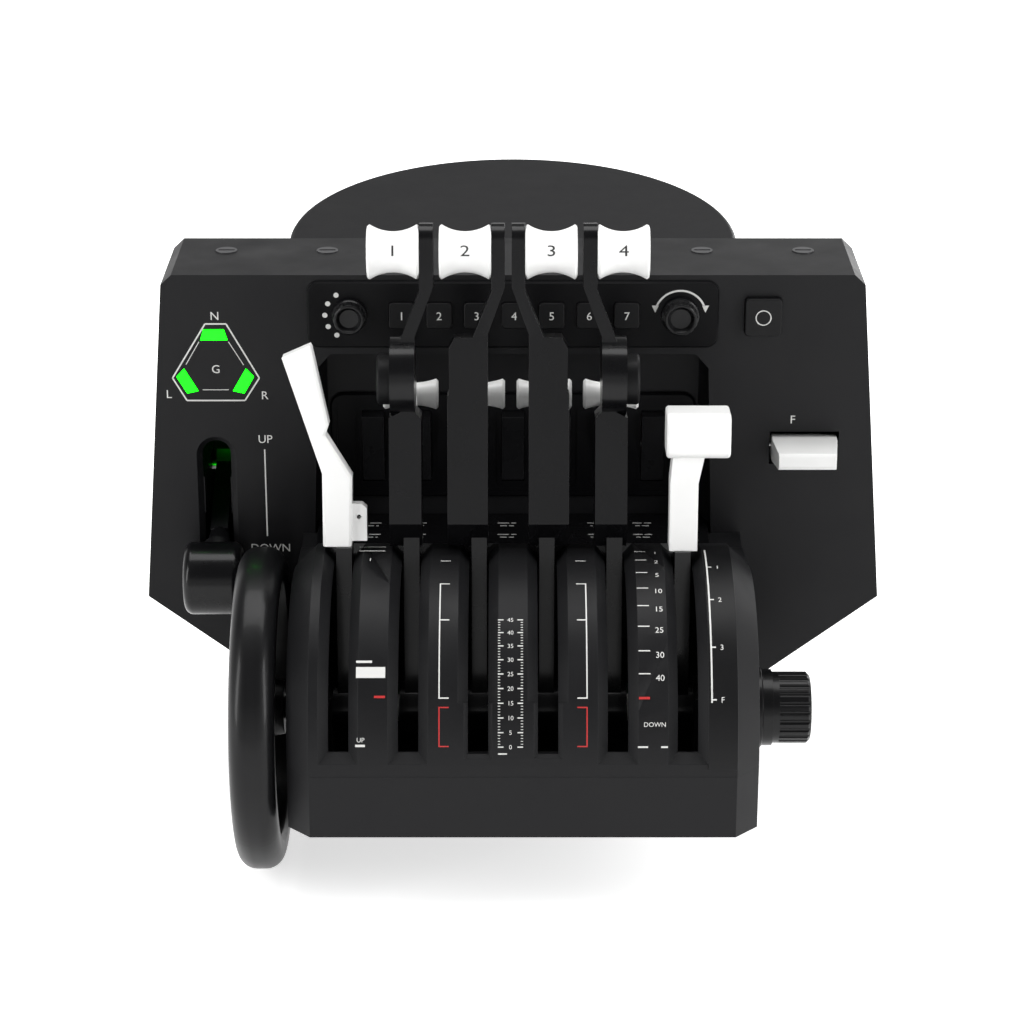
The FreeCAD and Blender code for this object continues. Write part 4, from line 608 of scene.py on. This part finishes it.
# ---- Switch plate and rockers
# A satin plate with a raised frame, set in the console's recess. Its seven rockers tip on a
# common rod, each in a sunk bezel.

rocker_plastic = plastic("rocker", (0.006, 0.006, 0.0065), (0.01, 0.01, 0.011), (0.24, 0.34),
                         grain_mm=0.2, bump=0.1, coat=0.2)
finish_piece("switch_plate", strip_plastic, 0.25)
for number in range(1, KEY_COUNT + 1):
    finish_piece("rocker_%d" % number, rocker_plastic, 0.5)

# ---- Gear lamps
# Three lit green lenses, moulded as one piece of frosted plastic and pushed through the console
# from behind.


def lamp_material():
    """Frosted green plastic, lit from behind."""
    material = bpy.data.materials.new("lit green lens")
    material.use_nodes = True
    tree = material.node_tree
    shader = tree.nodes["Principled BSDF"]
    shader.inputs["Emission Strength"].default_value = 12.0
    shader.inputs["Roughness"].default_value = 0.25
    shader.inputs["Specular IOR Level"].default_value = 0.2
    place = tree.nodes.new("ShaderNodeTexCoord")
    frost = tree.nodes.new("ShaderNodeTexNoise")
    frost.inputs["Scale"].default_value = 260.0
    glow = tree.nodes.new("ShaderNodeMix")
    glow.data_type = "RGBA"
    glow.inputs["A"].default_value = (0.0006, 0.24, 0.0006, 1)
    glow.inputs["B"].default_value = (0.0016, 0.34, 0.0016, 1)
    tree.links.new(place.outputs["Object"], frost.inputs["Vector"])
    tree.links.new(frost.outputs["Fac"], glow.inputs["Factor"])
    tree.links.new(glow.outputs["Result"], shader.inputs["Emission Color"])
    tree.links.new(glow.outputs["Result"], shader.inputs["Base Color"])
    return material


finish_piece("gear_lamp_lenses", lamp_material(), 0.2)

# ---- Gear lever
# A satin arm with a flared collar, which swings in a slot of the console. A wheel-shaped knob is
# pressed on its end.

lever_plastic = plastic("satin lever", (0.002, 0.002, 0.0025), (0.004, 0.004, 0.0045), (0.24, 0.34),
                        grain_mm=0.3, bump=0.15, coat=0.2, shine=0.12)
finish_piece("gear_lever", lever_plastic)
finish_piece("gear_knob", lever_plastic, 0.5)

# ---- Flap switch
# A spring-centred paddle on a pin in the console, moulded in the same semi-gloss white as the
# lever handles.

white_plastic = plastic("semi-gloss white", (0.82, 0.82, 0.81), (0.88, 0.88, 0.87), (0.28, 0.36),
                        grain_mm=0.5, bump=0.05, coat=0.15, shine=0.4)
finish_piece("flap_switch", white_plastic, 0.6)

# ---- Levers
# Four flat black throttle levers with white grips and reverse bars, and two thumb buttons on the
# outer ones. The grips are semi-gloss white, marked 1 to 4 round the waist.

black_ink = ink("black ink", (0.02, 0.02, 0.02))
GRIP_NUMBER_HEIGHT = 6.4
GRIP_NUMBER_TILT = math.radians(20)


def print_grip_number(number):
    """A number on the front of a grip, laid on the surface found below each point."""
    grip = nodes["throttle_grip_%d" % number]
    low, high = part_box("throttle_grip_%d" % number)
    centre = (low + high) / 2
    half_height = (high.z - low.z) / 2
    surface = BVHTree.FromPolygons([vertex.co for vertex in grip.data.vertices],
                                   [tuple(face.vertices) for face in grip.data.polygons])

    def on_waist(across, along):
        turn = along * MM / half_height + GRIP_NUMBER_TILT
        outward = Vector((0, -math.cos(turn), math.sin(turn)))
        start = Vector((across * MM, centre.y, centre.z)) + outward * half_height * 2
        return surface.ray_cast(start, -outward)[0] + outward * INK_THICKNESS

    mark = letters(str(number), centre.x / MM, -GRIP_NUMBER_HEIGHT / 2, GRIP_NUMBER_HEIGHT)
    print_on("grip_number_%d" % number, grip["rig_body"], mark, on_waist, black_ink)


for number in range(1, 5):
    finish_piece("throttle_lever_%d" % number, lever_plastic, 0.7)
    finish_piece("throttle_grip_%d" % number, white_plastic, 0.4)
    finish_piece("reverser_%d" % number, white_plastic)
    print_grip_number(number)
for number in (1, 2):
    finish_piece("thumb_button_%d" % number, key_plastic, 0.2)

# ---- Speed brake and flap levers
# Black stems that swing on the common axle, one at each end of the row. Their semi-gloss white
# handles are pressed on tenons.

for name in ("speed_brake_lever", "flap_lever"):
    finish_piece(name, lever_plastic)
for name in ("speed_brake_handle", "flap_handle"):
    finish_piece(name, white_plastic, 0.4)

# ---- Trim wheel and friction knob
# The wheel is a smooth satin moulding on a short shaft at the left. The friction knob, at the
# right, is satin with flutes for the fingers.

wheel_plastic = plastic("satin wheel", (0.003, 0.003, 0.0035), (0.005, 0.005, 0.0055), (0.3, 0.4),
                        grain_mm=0.6, bump=0.04, coat=0.1)
finish_piece("trim_wheel", wheel_plastic, 0.5)
finish_piece("friction_knob", knob_plastic)

# ---- Metal and inner pieces
# Turned steel axle and pins, zinc screws, nylon sleeves between the hubs and green circuit
# boards. Most of them are out of sight.


def metal(name, dark, light, rough):
    """A turned or plated metal with a very fine tool grain."""
    material = plastic(name, dark, light, rough, 0.15, 0.06)
    material.node_tree.nodes["Principled BSDF"].inputs["Metallic"].default_value = 1.0
    return material


steel = metal("turned steel", (0.5, 0.5, 0.51), (0.62, 0.62, 0.63), (0.22, 0.36))
zinc = metal("dark zinc", (0.09, 0.09, 0.095), (0.16, 0.16, 0.165), (0.34, 0.5))
for name in ("lever_axle", "pivot_pins", "usb_socket", "case_screws"):
    finish_piece(name, steel, 0.1)
finish_piece("top_insert_screws", zinc, 0.2)
nylon = plastic("nylon sleeve", (0.6, 0.6, 0.57), (0.68, 0.68, 0.65), (0.5, 0.6), shine=0.5)
finish_piece("axle_spacers", nylon, 0.1)
board = plastic("solder mask", (0.012, 0.1, 0.035), (0.02, 0.15, 0.05), (0.3, 0.42), 0.4, 0.1, shine=0.5)
for name in ("sensor_board", "main_circuit_board"):
    finish_piece(name, board, 0.1)

# ---- Studio
# A pale floor under the wheel, a world that is white along the horizon and dim overhead, a large
# soft lamp above, a soft lamp at each side and one behind.

FLOOR_HALF = 30.0
FLOOR_GAP = 0.3 * MM


def studio_floor():
    """Pale paper: it shows white to the camera and to reflections, and still takes a shadow."""
    material = bpy.data.materials.new("studio floor")
    material.use_nodes = True
    tree = material.node_tree
    link = tree.links.new
    surface = tree.nodes["Principled BSDF"]
    surface.inputs["Base Color"].default_value = (0.93, 0.93, 0.93, 1)
    surface.inputs["Roughness"].default_value = 0.9
    surface.inputs["Specular IOR Level"].default_value = 0.0
    surface.inputs["Emission Color"].default_value = (1, 1, 1, 1)
    rays = tree.nodes.new("ShaderNodeLightPath")
    mirrored = tree.nodes.new("ShaderNodeMath")
    mirrored.operation = "MAXIMUM"
    link(rays.outputs["Is Glossy Ray"], mirrored.inputs[0])
    link(rays.outputs["Is Transmission Ray"], mirrored.inputs[1])
    seen = tree.nodes.new("ShaderNodeMath")
    seen.operation = "MAXIMUM"
    link(rays.outputs["Is Camera Ray"], seen.inputs[0])
    link(mirrored.outputs[0], seen.inputs[1])
    place = tree.nodes.new("ShaderNodeTexCoord")
    reach = tree.nodes.new("ShaderNodeVectorMath")
    reach.operation = "LENGTH"
    link(place.outputs["Object"], reach.inputs[0])
    white = tree.nodes.new("ShaderNodeMapRange")
    white.inputs["From Min"].default_value = 0.2
    white.inputs["From Max"].default_value = 1.0
    white.inputs["To Min"].default_value = 0.62
    white.inputs["To Max"].default_value = 1.0
    link(reach.outputs["Value"], white.inputs["Value"])
    shown = tree.nodes.new("ShaderNodeMath")
    shown.operation = "MULTIPLY"
    link(seen.outputs[0], shown.inputs[0])
    link(white.outputs["Result"], shown.inputs[1])
    link(shown.outputs[0], surface.inputs["Emission Strength"])
    return material


floor_mesh = bpy.data.meshes.new("floor")
floor_level = solid_low.z - FLOOR_GAP
floor_corners = [(-FLOOR_HALF, -FLOOR_HALF), (FLOOR_HALF, -FLOOR_HALF), (FLOOR_HALF, FLOOR_HALF),
                 (-FLOOR_HALF, FLOOR_HALF)]
floor_mesh.from_pydata([(*corner, floor_level) for corner in floor_corners], [], [(0, 1, 2, 3)])
floor = bpy.data.objects.new("floor", floor_mesh)
floor_mesh.materials.append(studio_floor())
bpy.context.scene.collection.objects.link(floor)

world = bpy.data.worlds.new("studio")
world.use_nodes = True
bpy.context.scene.world = world
background = world.node_tree.nodes["Background"]
background.inputs["Color"].default_value = (1, 1, 1, 1)
direction = world.node_tree.nodes.new("ShaderNodeTexCoord")
slope = world.node_tree.nodes.new("ShaderNodeSeparateXYZ")
sky = world.node_tree.nodes.new("ShaderNodeMapRange")
sky.inputs["From Min"].default_value = 0.2
sky.inputs["From Max"].default_value = 0.45
sky.inputs["To Min"].default_value = 1.0
sky.inputs["To Max"].default_value = 0.22
world.node_tree.links.new(direction.outputs["Generated"], slope.inputs["Vector"])
world.node_tree.links.new(slope.outputs["Z"], sky.inputs["Value"])
world.node_tree.links.new(sky.outputs["Result"], background.inputs["Strength"])


def soft_lamp(name, place, aim, size, watts):
    """A rectangular lamp turned towards a point."""
    data = bpy.data.lights.new(name, "AREA")
    data.shape = "RECTANGLE"
    data.size, data.size_y = size
    data.energy = watts
    lamp = bpy.data.objects.new(name, data)
    bpy.context.scene.collection.objects.link(lamp)
    lamp.location = place
    lamp.rotation_euler = (Vector(aim) - Vector(place)).to_track_quat("-Z", "Y").to_euler()


unit_middle = (0, 0.06, 0.1)
soft_lamp("overhead", (0, 0.2, 1.3), unit_middle, (1.4, 0.7), 15)
soft_lamp("left", (-1.2, -0.6, 0.6), unit_middle, (0.35, 1.0), 10.5)
soft_lamp("right", (1.2, -0.6, 0.6), unit_middle, (0.35, 1.0), 10.5)
soft_lamp("rim", (1.3, 1.9, 0.9), unit_middle, (0.8, 0.8), 20)

CAMERA_PITCH = math.radians(21.4)
camera_data = bpy.data.cameras.new("camera")
camera_data.lens = 104.77
camera_data.sensor_width = 36
camera = bpy.data.objects.new("camera", camera_data)
camera.location = (-0.00045, -1.2216, 0.6008)
camera.rotation_euler = (math.radians(90) - CAMERA_PITCH, 0, 0)
bpy.context.scene.collection.objects.link(camera)
bpy.context.scene.camera = camera
bpy.context.scene.view_settings.view_transform = "Standard"
